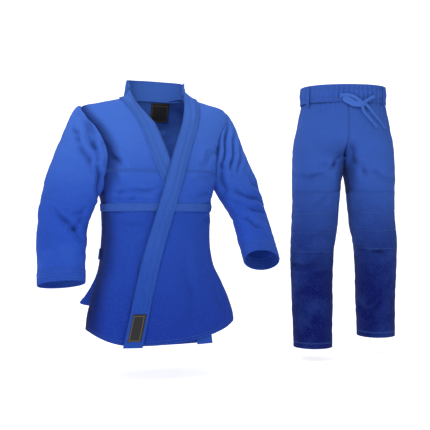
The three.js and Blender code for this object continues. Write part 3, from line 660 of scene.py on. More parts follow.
# lapels and collar
def collarSewn(turn):
    depth = np.where(np.sin(turn) > 0, jacket["neckBack"], jacket["neckFront"])
    return points(jacket["neckHalf"] * np.cos(turn), depth * np.sin(turn), neckHeight + 0.0032 + 0 * turn)


def collarFree(turn):
    lean = np.where(np.sin(turn) > 0, jacket["collarLean"], 0)
    return collarSewn(turn) + points(0.002 * np.cos(turn), lean * np.sin(turn),
                                     jacket["collarHeight"] + 0 * turn)


collarEnd = math.radians(-8)
sewnFrom = 1 - (jacket["lapelLap"] + 0.003) / jacket["lapelWidth"]
lapels = {
    "left": dict(toward=1, free=freeLeft, lift=0.0118, wall=0.004, rows=300),
    "right": dict(toward=-1, free=freeRight, lift=0.0038, wall=0.003, rows=300),
}


def lapelPlace(toward, free, lift, wall, low, high):
    half = halfLeft if toward > 0 else halfRight

    def place(u, v):
        height = lerp(low, high, v)
        start, sewn = free(height), np.minimum(free(height) + jacket["lapelWidth"], half(height) - 0.005)
        angle = lerp(frontAngle(toward * start, height), frontAngle(toward * sewn, height), u)
        lying = onJacket(angle, height, lift + wall)
        share = smoothstep(height, yokeSeam + 0.7 * jacket["yokeDrop"],
                           neckHeight - 0.006) * np.maximum(1 - u / sewnFrom, 0)
        meet = smoothstep(height, yokeSeam + 0.8 * jacket["yokeDrop"], neckHeight - 0.012)
        out = lerp(wall + lift / 2, 0.0048, meet)
        stand = collarFree(np.full_like(u, collarEnd)) + points(out, -wall + 0 * u, height - neckHeight)
        stand[..., 0] *= toward
        return jacketWorld(lerp(lying, stand, share[..., None]))

    return place


def lapelRelief(u, v, place, normal):
    edge = np.minimum(u, 1 - u)
    rolled = -0.0012 * (1 - smoothstep(edge, 0, 0.06))
    quilt = 0.0002 * np.sin(2 * math.pi * u * 6.5)
    rows = np.exp(-(((place[:, 2] - jacket["foot"] - waistSeam) / 0.05) ** 2))
    quilt = quilt + 0.0007 * rows * np.sin(2 * math.pi * place[:, 2] / 0.009)
    return rolled + quilt + 0.0012 * lumps(place, 0.07, 8) + 0.0005 * lumps(place * (1, 1, 4), 0.03, 9)


for side, lapel in lapels.items():
    shape = {k: lapel[k] for k in ("toward", "free", "lift", "wall")}
    place = lapelPlace(**shape, low=jacket["lapelHem"] - 0.005, high=neckHeight - 0.001)
    piece = clothPiece(f"lapel_long_{side}", place, 24, lapel["rows"], lapel["wall"], lapelCloth,
                       relief=lapelRelief,
                       limits=(-0.0006, 0.0008) if side == "right" else (-0.0008, 0.003))
    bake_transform(piece)
    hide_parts(f"lapel_{side}", f"lapel_tail_{side}")


def collarPlace(u, v):
    # sewn to the neck's edge; its ends run on behind the lapels, lower and lower
    turn = lerp(collarEnd - 0.34, math.pi - collarEnd + 0.34, u)
    outward = points(np.cos(turn), np.sin(turn), 0 * turn)
    end = 1 - smoothstep(np.sin(turn), -0.46, -0.16)
    rise = points(0 * u, 0 * u, 0.016 * np.maximum(np.sin(turn), 0) ** 0.8 - 0.003 - 0.035 * end)
    sewn = onJacket(turn, neckHeight - 0.004 + 0 * turn, -0.0045)
    spread = 0.0045 + 0.0022 * (1 - smoothstep(np.sin(turn), -0.2, 0.1))
    return jacketWorld(lerp(sewn, collarFree(turn) + rise, v[..., None]) + outward * spread[..., None])


def collarRelief(u, v, place, normal):
    return 0.0008 * lumps(place, 0.05, 10) - 0.0015 * (1 - smoothstep(np.minimum(v, 1 - v), 0, 0.1))


piece = clothPiece("collar", collarPlace, 110, 20, 0.004, lapelCloth, relief=collarRelief)
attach(piece, "garment_body")
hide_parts("collar_back")
print("lapels and collar made")

# labels and patches
def labelFinish(name, width, length, border):
    finish = Finish(name)
    layer, across, along = finish.uv()
    inset = [across.band(border, 0.0006), across.band(width - border, 0.0006)]
    inset += [along.band(border, 0.0006), along.band(length - border, 0.0006)]
    inside = across.band(width / 2, width / 2 - border * 0.7) * along.band(length / 2,
        length / 2 - border * 0.7)
    frameLine = inset[0].math("MAXIMUM", inset[1]).math("MAXIMUM", inset[2]).math("MAXIMUM",
        inset[3]) * inside
    lattice = ((across + along).wave(0.004) * (across - along).wave(0.004)).math("GREATER_THAN", 0.25)
    satin = (across + along * 2).wave(0.0009)
    base = finish.mix(lattice * 0.5, (0.006, 0.006, 0.008), (0.022, 0.022, 0.026))
    base = finish.mix(frameLine, base, (0.30, 0.22, 0.09))
    finish.colour(base)
    finish.bump(satin * 0.4 + lattice * 0.6 + frameLine, 0.0002)
    finish.set(roughness=0.55, sheen=0.15, specular=0.35)
    return finish.material


neckLabel = {"size": 0.06, "shift": 0.04, "wall": 0.0009}
hemLabel = {"width": 0.038, "length": 0.082, "lift": 0.014, "wall": 0.0009}


def neckLabelPlace(u, v):
    height = neckHeight - 0.006 - neckLabel["size"] * (1 - v)
    x = neckLabel["shift"] + neckLabel["size"] * (0.5 - u)
    return jacketWorld(onJacket(-frontAngle(x, height), height, -0.0042))


def hemLabelPlace(u, v):
    height = jacket["lapelHem"] + hemLabel["lift"] + hemLabel["length"] * v
    middle = freeLeft(height) + jacket["lapelWidth"] / 2
    return jacketWorld(onJacket(frontAngle(middle + hemLabel["width"] * (u - 0.5), height), height, 0.0168))


def labelEdge(u, v, place, normal):
    edge = np.minimum(np.minimum(u, 1 - u), np.minimum(v, 1 - v))
    return -0.0003 * (1 - smoothstep(edge, 0, 0.05)) + 0.0004 * lumps(place, 0.02, 12)


blackNeck = labelFinish("wovenLabelSquare", neckLabel["size"], neckLabel["size"], 0.004)
blackHem = labelFinish("wovenLabelLong", hemLabel["width"], hemLabel["length"], 0.0035)
piece = clothPiece("labelNeck", neckLabelPlace, 24, 24, neckLabel["wall"], blackNeck,
                   relief=labelEdge,
                   out=lambda p: p * (-1, -1, 0))
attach(piece, "garment_body")
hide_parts("neck_label")
piece = clothPiece("labelHem", hemLabelPlace, 18, 36, hemLabel["wall"], blackHem, relief=labelEdge)
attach(piece, "front_flaps_over")
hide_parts("hem_label")

patchCloth = clothFinish("patchTwill", **weaves["lapel"], stitches=(0.003, 0.031),
                         stitchesAcross=(0.003, 0.031))
for name, sign in (("left", 1), ("right", -1)):
    def patchPlace(u, v, sign=sign):
        height = ventTop + 0.004 + 0.034 * v
        across = (2 / 16) * (u if sign > 0 else 1 - u)
        angle = lerp(backNear(height), backFar(height), across if sign > 0 else 1 - (2 / 16) * (1 - u))
        return jacketWorld(onJacket(angle, height, jacket["wall"] + 0.0042))
    piece = clothPiece(f"ventPatch_{name}", patchPlace, 16, 16, 0.0012, patchCloth, relief=labelEdge)
    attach(piece, "garment_body")
    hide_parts(f"vent_patch_{name}")
print("labels and patches made")

# sleeves
sleeve = {
    "upper": 0.255, "lower": 0.187, "fold": 0.046, "wideTop": 0.082, "wideElbow": 0.079, "wideCuff": 0.074,
    "thinTop": 0.058, "thinElbow": 0.053, "thinCuff": 0.05, "twist": math.radians(40), "join": 0.12,
    "head": 0.027,
}
sleevePoses = {
    "left": dict(sign=1, upperOut=29, upperForward=14, lowerOut=0, lowerForward=34, gather=0.03),
    "right": dict(sign=-1, upperOut=24, upperForward=6, lowerOut=3, lowerForward=16, gather=0.0),
}
sleeveEnd = sleeve["upper"] + sleeve["lower"]
sleeveWide = through((0, sleeve["wideTop"]), (sleeve["upper"], sleeve["wideElbow"]),
                     (sleeveEnd, sleeve["wideCuff"]))
sleeveThin = through((0, sleeve["thinTop"]), (sleeve["upper"], sleeve["thinElbow"]),
                     (sleeveEnd, sleeve["thinCuff"]))
armholeLevels = [armpit, armpit + 0.034, yokeSeam, yokeSeam + 0.07, yokeSeam + 0.13,
                 jacket["shoulder"] - 0.026, jacket["shoulder"]]


def heading(out, forward):
    v = np.array([math.tan(math.radians(out)), -math.tan(math.radians(forward)), -1.0])
    return v / np.linalg.norm(v)


def sleeveCentre(upperOut, upperForward, lowerOut, lowerForward, gather):
    upper, lower = heading(upperOut, upperForward), heading(lowerOut, lowerForward)
    shoulder = np.array([(jacket["waistHalf"] + jacket["shoulderHalf"]) / 2, 0.004,
                         (armpit + jacket["shoulder"]) / 2])
    straight = sleeve["upper"] - sleeve["fold"]
    stretch = (straight - gather) / straight
    elbow = shoulder + upper * (sleeve["upper"] - gather)

    def at(along):
        t = np.clip((along - straight) / (2 * sleeve["fold"]), 0, 1)[..., None]
        a, b, c = elbow - upper * sleeve["fold"], elbow, elbow + lower * sleeve["fold"]
        bend = (1 - t) ** 2 * a + 2 * t * (1 - t) * b + t**2 * c
        first = shoulder + upper * (along * stretch)[..., None]
        last = elbow + lower * (along - sleeve["upper"])[..., None]
        place = np.where((along < straight)[..., None], first,
                         np.where((along > sleeve["upper"] + sleeve["fold"])[..., None], last, bend))
        return place, unit(lerp(upper, lower, t))

    return at


def armholePoint(turn):
    back = turn > 0.5
    down = np.where(back, 1 - turn, turn) * 2
    height = np.interp(1 - down, np.linspace(0, 1, 7), armholeLevels)
    angle = armholeAngle(height) * np.where(back, 1, -1)
    return onJacket(angle, height, jacket["wall"])


def sleeveSurface(pose):
    centre = sleeveCentre(**{k: pose[k] for k in pose if k != "sign"})

    def at(turn, along):
        place, head = centre(along)
        outward = unit(np.array([1.0, 0, 0]) - head * head[..., :1])
        forward = unit(np.cross(head, outward))
        angle = 2 * math.pi * turn
        tilt = angle + sleeve["twist"]
        wide, thin = sleeveWide(along), sleeveThin(along)
        radius = wide * thin / np.hypot(thin * np.cos(tilt), wide * np.sin(tilt)) + jacket["wall"]
        ring = place + outward * (radius * np.cos(angle))[...,
                                                          None] + forward * (radius * np.sin(angle))[...,
                                                              None]
        puff = sleeve["head"] * np.sin(math.pi * np.clip(along / sleeve["upper"], 0, 1) ** 0.7)
        joined = lerp(armholePoint(turn), ring, smoothstep(along, 0, sleeve["join"])[..., None])
        joined = joined + outward * (puff * (0.15 + 0.85 * np.maximum(np.cos(angle), 0)))[..., None]
        joined[..., 0] *= pose["sign"]
        return joined

    return at


sleeveFolds = {
    "right": [
        ((-0.226, 0.762), (-0.212, 0.635), 0.010, 0.0110),
        ((-0.250, 0.740), (-0.205, 0.600), 0.010, 0.0110),
        ((-0.272, 0.700), (-0.255, 0.655), 0.008, 0.0080),
        ((-0.262, 0.660), (-0.220, 0.560), 0.010, 0.0075),
        ((-0.205, 0.590), (-0.200, 0.480), 0.011, 0.0100),
        ((-0.340, 0.450), (-0.255, 0.345), 0.010, 0.0080),
        ((-0.245, 0.420), (-0.305, 0.370), 0.009, 0.0060),
        ((-0.240, 0.450), (-0.285, 0.420), 0.010, 0.0050),
        ((-0.230, 0.700), (-0.300, 0.560), 0.014, 0.0075, True),
        ((-0.240, 0.440), (-0.340, 0.400), 0.012, 0.0075, True),
        ((-0.250, 0.380), (-0.330, 0.360), 0.012, 0.0060, True),
    ],
    "left": [
        ((0.212, 0.745), (0.186, 0.610), 0.010, 0.0110),
        ((0.240, 0.725), (0.208, 0.585), 0.010, 0.0115),
        ((0.266, 0.700), (0.236, 0.570), 0.010, 0.0100),
        ((0.292, 0.665), (0.262, 0.565), 0.009, 0.0070),
        ((0.200, 0.590), (0.212, 0.480), 0.011, 0.0100),
        ((0.230, 0.505), (0.350, 0.470), 0.012, 0.0080),
        ((0.235, 0.470), (0.345, 0.430), 0.010, 0.0070),
        ((0.250, 0.420), (0.320, 0.380), 0.010, 0.0060),
        ((0.300, 0.560), (0.350, 0.500), 0.012, 0.0050),
        ((0.230, 0.700), (0.310, 0.560), 0.014, 0.0075, True),
        ((0.240, 0.470), (0.370, 0.430), 0.012, 0.0075, True),
        ((0.250, 0.410), (0.360, 0.390), 0.012, 0.0060, True),
    ],
}


def sleeveRelief(side):
    def relief(u, v, place, normal):
        lift = 0.0034 * lumps(place, 0.08, 20) + 0.0017 * lumps(place * (1, 1, 1.8), 0.035, 21)
        for crease in sleeveFolds[side]:
            lift += fold(place, normal, *crease)
        return lift
    return localised(relief)


cuffRows = (0.003, 0.011, 0.019, 0.027, 0.038)
sleeveCloth = clothFinish("sleeveRiceGrain", **weaves["jacket"])
lowerCloth = clothFinish("cuffRiceGrain", **weaves["jacket"], stitchesAcross=cuffRows)
split = sleeve["upper"] - sleeve["fold"] - 0.01
for side, pose in sleevePoses.items():
    surface = sleeveSurface(pose)
    flip = pose["sign"] < 0

    def stretchPlace(low, high, surface=surface, flip=flip):
        def place(u, v):
            turn = (1 - u) if flip else u
            return jacketWorld(surface(1 - turn, lerp(high, low, v)))
        return place

    relief = sleeveRelief(side)
    fade = lambda u, v, p, n, relief=relief: relief(u, v, p, n) * smoothstep(1 - v, -0.05, 0.08)
    piece = clothPiece(f"sleeveTop_{side}", stretchPlace(0, split), 110, 80, jacket["wall"], sleeveCloth,
                       wrap=True, relief=fade)
    sign = pose["sign"]
    seam = jacketWorld(np.array([sign * 0.2065, 0.0, 0.6275]))
    outward = np.array([0.972 * sign, 0.0, -0.237])
    toward = jacketWorld(np.array([sign * 0.2065, 0.0, 0.6275]) + outward * 0.052)
    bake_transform(piece)
    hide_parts(f"sleeve_upper_{side}")

    def cuffed(u, v, p, n, relief=relief):
        hem = 0.0014 * (1 - smoothstep(v, 0.155, 0.175)) - 0.001 * (1 - smoothstep(v, 0, 0.012))
        return relief(u, v, p, n) * (0.25 + 0.75 * smoothstep(v, 0.1, 0.25)) + hem

    piece = clothPiece(f"sleeveLow_{side}", stretchPlace(split, sleeveEnd), 110, 90, jacket["wall"],
                       lowerCloth, wrap=True, relief=cuffed)
    centre = sleeveCentre(**{k: pose[k] for k in pose if k != "sign"})
    a, _ = centre(np.array(split + 0.008))
    b, _ = centre(np.array(sleeve["upper"] + sleeve["fold"]))
    a, b = a * (sign, 1, 1), b * (sign, 1, 1)
    # a is moved past the whole of the ring that both sleeve pieces share
    ring = surface(np.linspace(0, 1, 41), np.full(41, split))
    bendWay = unit(b - a)
    a = a + bendWay * max(((ring - a) @ bendWay).max() + 0.004, 0)
    tuple(jacketWorld(a))
    tuple(jacketWorld(b))
    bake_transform(piece)
    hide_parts(f"sleeve_elbow_{side}", f"sleeve_lower_{side}", f"cuff_{side}")
print("sleeves made")

# trousers
def fromLegs(p):
    return p - points(0.658, 0.3, p[:, 2])


trouser = {
    "place": (0.658, 0.3, -0.851), "length": 0.927, "band": 0.054, "crotch": 0.672, "hipFold": 0.038,
    "knee": 0.443,
    "kneeFold": 0.064, "patch": 0.211, "waistHalf": 0.146, "hipHalf": 0.179, "waistDepth": 0.111,
    "seatDepth": 0.137,
    "legHalfTop": 0.086, "legHalfKnee": 0.082, "legHalfCalf": 0.075, "legHalfHem": 0.068,
    "legDepthTop": 0.109,
    "legDepthKnee": 0.086, "legDepthHem": 0.073, "legGap": 0.008, "centreHem": 0.111, "centreCalf": 0.113,
    "centreKnee": 0.102, "calf": 0.332, "roundness": 0.9, "wall": 0.002,
}
seatBottom, bandBottom = trouser["crotch"] - 0.008, trouser["length"] - trouser["band"]
seatHalf = through(
    (seatBottom, trouser["hipHalf"]), (trouser["crotch"] + 0.06, trouser["hipHalf"] - 0.003),
    (trouser["crotch"] + 0.14, lerp(trouser["hipHalf"], trouser["waistHalf"], 0.6)),
    (bandBottom, trouser["waistHalf"]), (trouser["length"], trouser["waistHalf"]),
)
seatFront = through(
    (seatBottom, trouser["seatDepth"] - 0.012), (trouser["crotch"] + 0.06, trouser["seatDepth"] - 0.008),
    (bandBottom, trouser["waistDepth"]), (trouser["length"], trouser["waistDepth"]),
)
seatBack = through(
    (seatBottom, trouser["seatDepth"]), (trouser["crotch"] + 0.06, trouser["seatDepth"] + 0.006),
    (bandBottom, trouser["waistDepth"] + 0.002), (trouser["length"], trouser["waistDepth"] + 0.002),
)
legCentre = through((0, trouser["centreHem"]), (trouser["calf"], trouser["centreCalf"]),
                    (trouser["knee"], trouser["centreKnee"]),
                    (trouser["crotch"], trouser["legGap"] + trouser["legHalfTop"]))
legHalf = through((0, trouser["legHalfHem"]), (trouser["calf"], trouser["legHalfCalf"]),
                  (trouser["knee"], trouser["legHalfKnee"]), (trouser["crotch"], trouser["legHalfTop"]))
legDepth = through((0, trouser["legDepthHem"]), (trouser["knee"], trouser["legDepthKnee"]),
                   (trouser["crotch"], trouser["legDepthTop"]))
legPoses = {
    "left": dict(sign=1, back=0.103, out=0.028, rise=0.021),
    "right": dict(sign=-1, back=-0.024, out=0.0, rise=0.0),
}


def trouserWorld(place, sign=1):
    return place * (sign, 1, 1) + np.array(trouser["place"])


def seatCurve(angle, height):
    depth = np.where(np.sin(angle) > 0, seatBack(height), seatFront(height))
    x = seatHalf(height) * signedPower(np.cos(angle), trouser["roundness"])
    return points(x, depth * signedPower(np.sin(angle), trouser["roundness"]), height)


def legCurve(pose):
    def at(angle, height):
        height = np.asarray(height, float)
        squareness = lerp(1, 0.75, smoothstep(height, trouser["knee"], trouser["crotch"]))
        half = legHalf(height)
        x = legCentre(height) + half * signedPower(np.cos(angle), squareness)
        close = smoothstep(height, trouser["crotch"] - 0.12,
                           trouser["crotch"] - 0.02) * smoothstep(-np.cos(angle), 0.2, 1)
        x = x - (trouser["legGap"] - 0.001) * close
        y = 0.004 + legDepth(height) * signedPower(np.sin(angle), squareness)
        down = np.maximum(1 - height / seatBottom, 0)
        return points(x + pose["out"] * down, y + pose["back"] * down, height + pose["rise"] * down)
    return at


def onSurface(surface, angle, height, out):
    return above(surface, angle, height, np.broadcast_to(out, np.shape(angle)))


def halfTrouser(pose):
    # u goes from the front centre round the side to the back centre
    leg = legCurve(pose)

    def at(u, height):
        seat = onSurface(seatCurve, lerp(-math.pi / 2, math.pi / 2, u),
                         np.maximum(height, seatBottom + 0.001), trouser["wall"])
        seat[..., 0] = np.maximum(seat[..., 0], 0.0)
        lower = onSurface(leg, lerp(-math.pi, math.pi, u), np.minimum(height, trouser["crotch"]),
                          trouser["wall"])
        lower[..., 2] = np.where(height > trouser["crotch"], height, lower[..., 2])
        share = 1 - smoothstep(height, seatBottom - 0.005, trouser["crotch"] + 0.085)
        mixed = lerp(seat, lower, share[..., None])
        edge = 1 - smoothstep(np.minimum(u, 1 - u), 0, 0.04)
        mixed[..., 0] = np.where(share < 0.999, mixed[..., 0] * (1 - edge * (1 - share)), mixed[..., 0])
        return mixed

    return at


trouserFolds = {
    "right": [
        ((-0.020, 0.690), (-0.060, 0.625), 0.010, 0.0075),
        ((-0.030, 0.655), (-0.120, 0.640), 0.010, 0.0055),
        ((-0.060, 0.612), (-0.175, 0.606), 0.013, 0.0060),
        ((-0.085, 0.300), (-0.215, 0.292), 0.010, 0.0095),
        ((-0.060, 0.265), (-0.160, 0.275), 0.012, 0.0040),
        ((-0.040, 0.560), (-0.120, 0.500), 0.014, 0.0040),
        ((-0.060, 0.410), (-0.170, 0.395), 0.014, 0.0035),
        ((-0.040, 0.690), (-0.150, 0.620), 0.014, 0.0080, True),
        ((-0.050, 0.430), (-0.170, 0.450), 0.012, 0.0070, True),
        ((-0.050, 0.390), (-0.170, 0.380), 0.012, 0.0060, True),
    ],
    "left": [
        ((0.010, 0.730), (0.030, 0.640), 0.011, 0.0070),
        ((0.020, 0.680), (0.080, 0.600), 0.012, 0.0060),
        ((0.050, 0.630), (0.160, 0.600), 0.013, 0.0045),
        ((0.040, 0.355), (0.160, 0.330), 0.010, 0.0065),
        ((0.060, 0.320), (0.150, 0.345), 0.010, 0.0045),
        ((0.075, 0.150), (0.098, 0.096), 0.010, 0.0070),
        ((0.098, 0.096), (0.135, 0.160), 0.010, 0.0075),
        ((0.050, 0.520), (0.130, 0.500), 0.013, 0.0040),
        ((0.040, 0.690), (0.150, 0.620), 0.014, 0.0080, True),
        ((0.050, 0.430), (0.170, 0.450), 0.012, 0.0070, True),
        ((0.050, 0.390), (0.170, 0.380), 0.012, 0.0060, True),
    ],
}


def trouserRelief(side):
    def relief(u, v, place, normal):
        local = place - np.array(trouser["place"])
        lift = 0.0035 * lumps(local * (1, 1, 0.7), 0.10, 30) + 0.0015 * lumps(local * (1, 1, 1.6), 0.04, 31)
        for crease in trouserFolds[side]:
            lift += fold(local, normal, *crease)
        angle = np.arctan2(local[:, 1], local[:, 0])
        gather = smoothstep(local[:, 2], bandBottom - 0.10, bandBottom)
        wavy = np.sin(angle * 46 + 3 * lumps(local, 0.05, 32)) * (0.5 + 0.5 * lumps(local, 0.08, 33))
        return lift + 0.0034 * gather * wavy
    return relief


def innerShade(u, v, place):
    # painted shade: darker where the legs face each other and under the seat
    local = place - np.array(trouser["place"])
    between = 1 - smoothstep(np.abs(local[:, 0]), 0.012, 0.05)
    return 0.7 * between * (1 - smoothstep(local[:, 2], 0.64, 0.70))


seatCloth = clothFinish("drillSeat", **weaves["trousers"], stitches=(0.004, 0.010))
legCloth = clothFinish("drillLeg", **weaves["trousers"], stitchesAcross=(0.018, 0.021))
patchRows = (0.0035, 0.0715, 0.140, 0.2085)
kneeCloth = clothFinish("drillPatch", **weaves["trousers"], stitchesAcross=patchRows, stitches=(0.003,),
                        pale=1.3)
patchTop = trouser["knee"] + trouser["patch"] / 2
patchBottom = trouser["knee"] - trouser["patch"] / 2

for side, pose in legPoses.items():
    sign = pose["sign"]
    flip = sign < 0
    half, leg = halfTrouser(pose), legCurve(pose)

    def seatPlace(u, v, half=half, sign=sign, flip=flip):
        return trouserWorld(half((1 - u) if flip else u, lerp(patchTop, bandBottom + 0.004, v)), sign)

    relief = trouserRelief(side)
    soft = lambda u, v, p, n, relief=relief: relief(u, v, p, n) * smoothstep(np.minimum(u, 1 - u), 0, 0.03)
    piece = clothPiece(f"trouserTop_{side}", seatPlace, 150, 110, trouser["wall"], seatCloth,
                       relief=soft, extraShade=innerShade,
                       out=fromLegs)
    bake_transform(piece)
    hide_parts(f"seat_{side}", f"hip_fold_{side}", f"thigh_{side}")

    def legPlace(u, v, leg=leg, sign=sign, flip=flip):
        turn = (1 - u) if flip else u
        return trouserWorld(onSurface(leg, lerp(-math.pi, math.pi, turn), lerp(0.0, patchTop, v),
                                      trouser["wall"]), sign)

    piece = clothPiece(f"trouserLeg_{side}", legPlace, 120, 170, trouser["wall"], legCloth,
                       wrap=True, relief=relief)
    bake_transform(piece)
    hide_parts(f"shin_{side}", f"knee_fold_{side}")

    def patchPlace(u, v, leg=leg, sign=sign, flip=flip):
        turn = (1 - u) if flip else u
        angle = -math.pi / 2 + math.radians(72) * (2 * turn - 1)
        return trouserWorld(onSurface(leg, angle, lerp(patchBottom, patchTop + 0.004, v),
                                      trouser["wall"] + 0.0018), sign)

    def quilted(u, v, place, normal, relief=relief):
        across = np.minimum(u, 1 - u) * 0.2
        rows = sum(np.exp(-(((v * trouser["patch"] - at) / 0.0022) ** 2)) for at in patchRows)
        return relief(u, v, place, normal) - 0.0012 * rows - 0.001 * (1 - smoothstep(across, 0, 0.004))

    piece = clothPiece(f"kneePatch_{side}", patchPlace, 80, 110, 0.0016, kneeCloth,
                       relief=quilted,
                       out=lambda p: points(0, -1, 0 * p[:, 0]))
    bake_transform(piece)
    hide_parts(f"knee_patch_{side}")
print("trouser legs made")

# waistband, loops and crotch
bandCloth = clothFinish("drillBand", **weaves["trousers"], stitchesAcross=(0.004, 0.016, 0.046), pale=1.1)


def bandPlace(u, v):
    angle = 2 * math.pi * u
    return trouserWorld(onSurface(seatCurve, angle, lerp(bandBottom - 0.008, trouser["length"], v), 0.0074))


def gathered(u, v, place, normal):
    local = place - np.array(trouser["place"])
    angle = np.arctan2(local[:, 1], local[:, 0])
    wavy = np.sin(angle * 46 + 3 * lumps(local, 0.05, 32)) * (0.55 + 0.45 * lumps(local, 0.08, 33))
    middle = np.sin(math.pi * np.clip(v, 0, 1)) ** 0.4
    puff = 0.0022 * np.sin(math.pi * np.clip((v - 0.3) / 0.55, 0, 1))
    return 0.0036 * wavy * (0.35 + 0.65 * middle) + puff - 0.0006


piece = clothPiece("waistband", bandPlace, 420, 26, 0.002, bandCloth, wrap=True, relief=gathered)
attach(piece, "garment_body")
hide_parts("waistband_shell")


def liningPlace(u, v):
    return trouserWorld(onSurface(seatCurve, 2 * math.pi * u, lerp(bandBottom, trouser["length"] - 0.001, v),
                                  0.0014))


piece = clothPiece("waistbandLining", liningPlace, 200, 10, 0.0012, bandCloth, wrap=True)
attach(piece, "garment_body")
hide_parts("waistband_lining")


def runPlace(u, v):
    return trouserWorld(onSurface(seatCurve, 2 * math.pi * u,
                                  lerp(-0.0065, 0.0065, v) + trouser["length"] - trouser["band"] / 2, 0.0043))


cordCloth = clothFinish("flatTape", weave="rib", grain=0.0016, depth=0.0002, top=(0.07, 0.18, 0.64),
                        low=(0.05, 0.14, 0.56), span=(-0.2, 0.1))
piece = clothPiece("drawstringRun", runPlace, 200, 6, 0.0018, cordCloth, wrap=True)
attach(piece, "garment_body")
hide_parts("drawstring_run")


def gussetPlace(u, v):
    x = 0.028 * (2 * u - 1)
    toward = 2 * v - 1
    reach = 0.06
    height = seatBottom - 0.002 + 0.012 * toward**2
    return trouserWorld(points(x, toward * reach + 0.004, height + 0 * x))


piece = clothPiece("crotchGusset", gussetPlace, 16, 40, 0.002, seatCloth,
                   out=lambda p: points(0, 0, -1 + 0 * p[:, 0]))
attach(piece, "garment_body")
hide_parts("crotch_gusset")

loop = {"width": 0.013, "angle": math.radians(33), "length": 0.07, "stand": 0.003}
for name, sign in (("left", 1), ("right", -1)):
    def loopPlace(u, v, sign=sign):
        turn = u if sign > 0 else 1 - u
        height = lerp(trouser["length"] - 0.004 - loop["length"], trouser["length"] - 0.004, v)
        angle = -loop["angle"] + (turn - 0.5) * loop["width"] / trouser["waistHalf"]
        stand = 0.0115 + loop["stand"] * np.sin(math.pi * v) ** 0.5
        return trouserWorld(onSurface(seatCurve, angle, height, stand), sign)
    piece = clothPiece(f"beltLoop_{name}", loopPlace, 10, 40, 0.002, bandCloth, out=fromLegs,
                       relief=lambda u, v, p, n: -0.0006 * (1 - smoothstep(np.minimum(u, 1 - u), 0, 0.2)))
    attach(piece, "garment_body")
    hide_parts(f"belt_loop_{name}")
print("waistband made")

# drawstring
cordFace = 0.0074 + 0.0009 + 0.003
cordRoutes = {
    "lead_left": [(-26, 13, -3), (-26, 13, 0), (-6, 15, 2), (15, 10, 2), (30, 1, 1), (41, -9, 2)],
    "lead_right": [(90, 12, -3), (90, 12, 0), (81, 9, 1), (70, 1, 1), (62, -5, 2), (54, -11, 2)],
    "loop": [(37, -16, 2), (21, -11, 2), (6, -3, 4), (-9, 4, 5), (-15, 0, 5), (-9, -7, 4), (6, -16, 3),
             (21, -21, 2), (38, -22, 2)],
    "tail_left": [(57, -18, 2), (71, -30, -1), (86, -47, -4), (103, -66, -5), (120, -86, -5),
                  (133, -101, -5)],
    "tail_right": [(47, -26, 2), (50, -39, -2), (62, -54, -4), (76, -70, -5), (90, -86, -5), (98, -98, -5)],
}
tape = {"width": 0.0125, "thick": 0.0018, "steps": 10}


def onFront(x, height, out):
    share = np.minimum(np.abs(x) / seatHalf(height), 1) ** (1 / trouser["roundness"])
    return trouserWorld(onSurface(seatCurve, -np.arccos(np.sign(x) * share), height, out))


def routePoints(names):
    route = [p for name in names for p in cordRoutes[name]]
    x, up, out = (np.array(c, float) / 1000 for c in zip(*route))
    return onFront(x, bandBottom + up, cordFace + out)


def smoothPath(stops, steps):
    # points along a smooth curve through the stops
    padded = np.vstack([2 * stops[0] - stops[1], stops, 2 * stops[-1] - stops[-2]])
    t = np.linspace(0, 1, steps, endpoint=False)[:, None]
    parts = []
    for p, q, r, s in zip(padded, padded[1:], padded[2:], padded[3:]):
        parts.append(0.5 * (2 * q + (r - p) * t + (2 * p - 5 * q + 4 * r - s) * t**2
                            + (3 * q - p - 3 * r + s) * t**3))
    return np.vstack(parts + [stops[-1:]])


def tapePiece(name, names):
    # a flat woven tape along the routes, which lies flat on the trousers
    path = smoothPath(routePoints(names), tape["steps"])
    lengths = np.insert(np.linalg.norm(np.diff(path, axis=0), axis=1).cumsum(), 0, 0)
    total = lengths[-1]
    stations = np.linspace(0, total, int(total / 0.0025))
    line = np.stack([np.interp(stations, lengths, path[:, k]) for k in range(3)], axis=1)
    tangent = unit(np.gradient(line, axis=0))
    outward = unit(line - (np.array(trouser["place"]) + np.array([0, 0.0, 1])
                           * (line[:, 2:] - trouser["place"][2])))
    crosswise = unit(np.cross(tangent, outward))
    normal = unit(np.cross(crosswise, tangent))
    sides, steps = 12, len(line) - 1
    mesh = bmesh.new()
    bmesh.ops.create_grid(mesh, x_segments=sides, y_segments=steps, size=0.5)
    layer = mesh.loops.layers.uv.new("cloth")
    for vert in mesh.verts:
        i, k = round((vert.co.x + 0.5) * sides), round((vert.co.y + 0.5) * steps)
        turn = 2 * math.pi * (i % sides) / sides
        wide = tape["width"] / 2 * (1 + 0.06 * math.sin(k * 0.7))
        out = float(signedPower(math.cos(turn), 0.6)) * wide
        up = float(signedPower(math.sin(turn), 0.8)) * tape["thick"] / 2
        vert.co = line[k] + crosswise[k] * out + normal[k] * up
        for corner in vert.link_loops:
            corner[layer].uv = (i / sides * tape["width"] * 2, k * 0.0025)
    for face in mesh.faces:
        face.smooth = True
    bmesh.ops.remove_doubles(mesh, verts=mesh.verts, dist=1e-6)
    bmesh.ops.holes_fill(mesh, edges=[e for e in mesh.edges if e.is_boundary], sides=sides)
    bmesh.ops.recalc_face_normals(mesh, faces=mesh.faces)
    data = bpy.data.meshes.new(name)
    mesh.to_mesh(data)
    mesh.free()
    data.materials.append(cordCloth)
    piece = bpy.data.objects.new(name, data)
    scene.collection.objects.link(piece)
    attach(piece, "garment_body")
    return piece, line, total


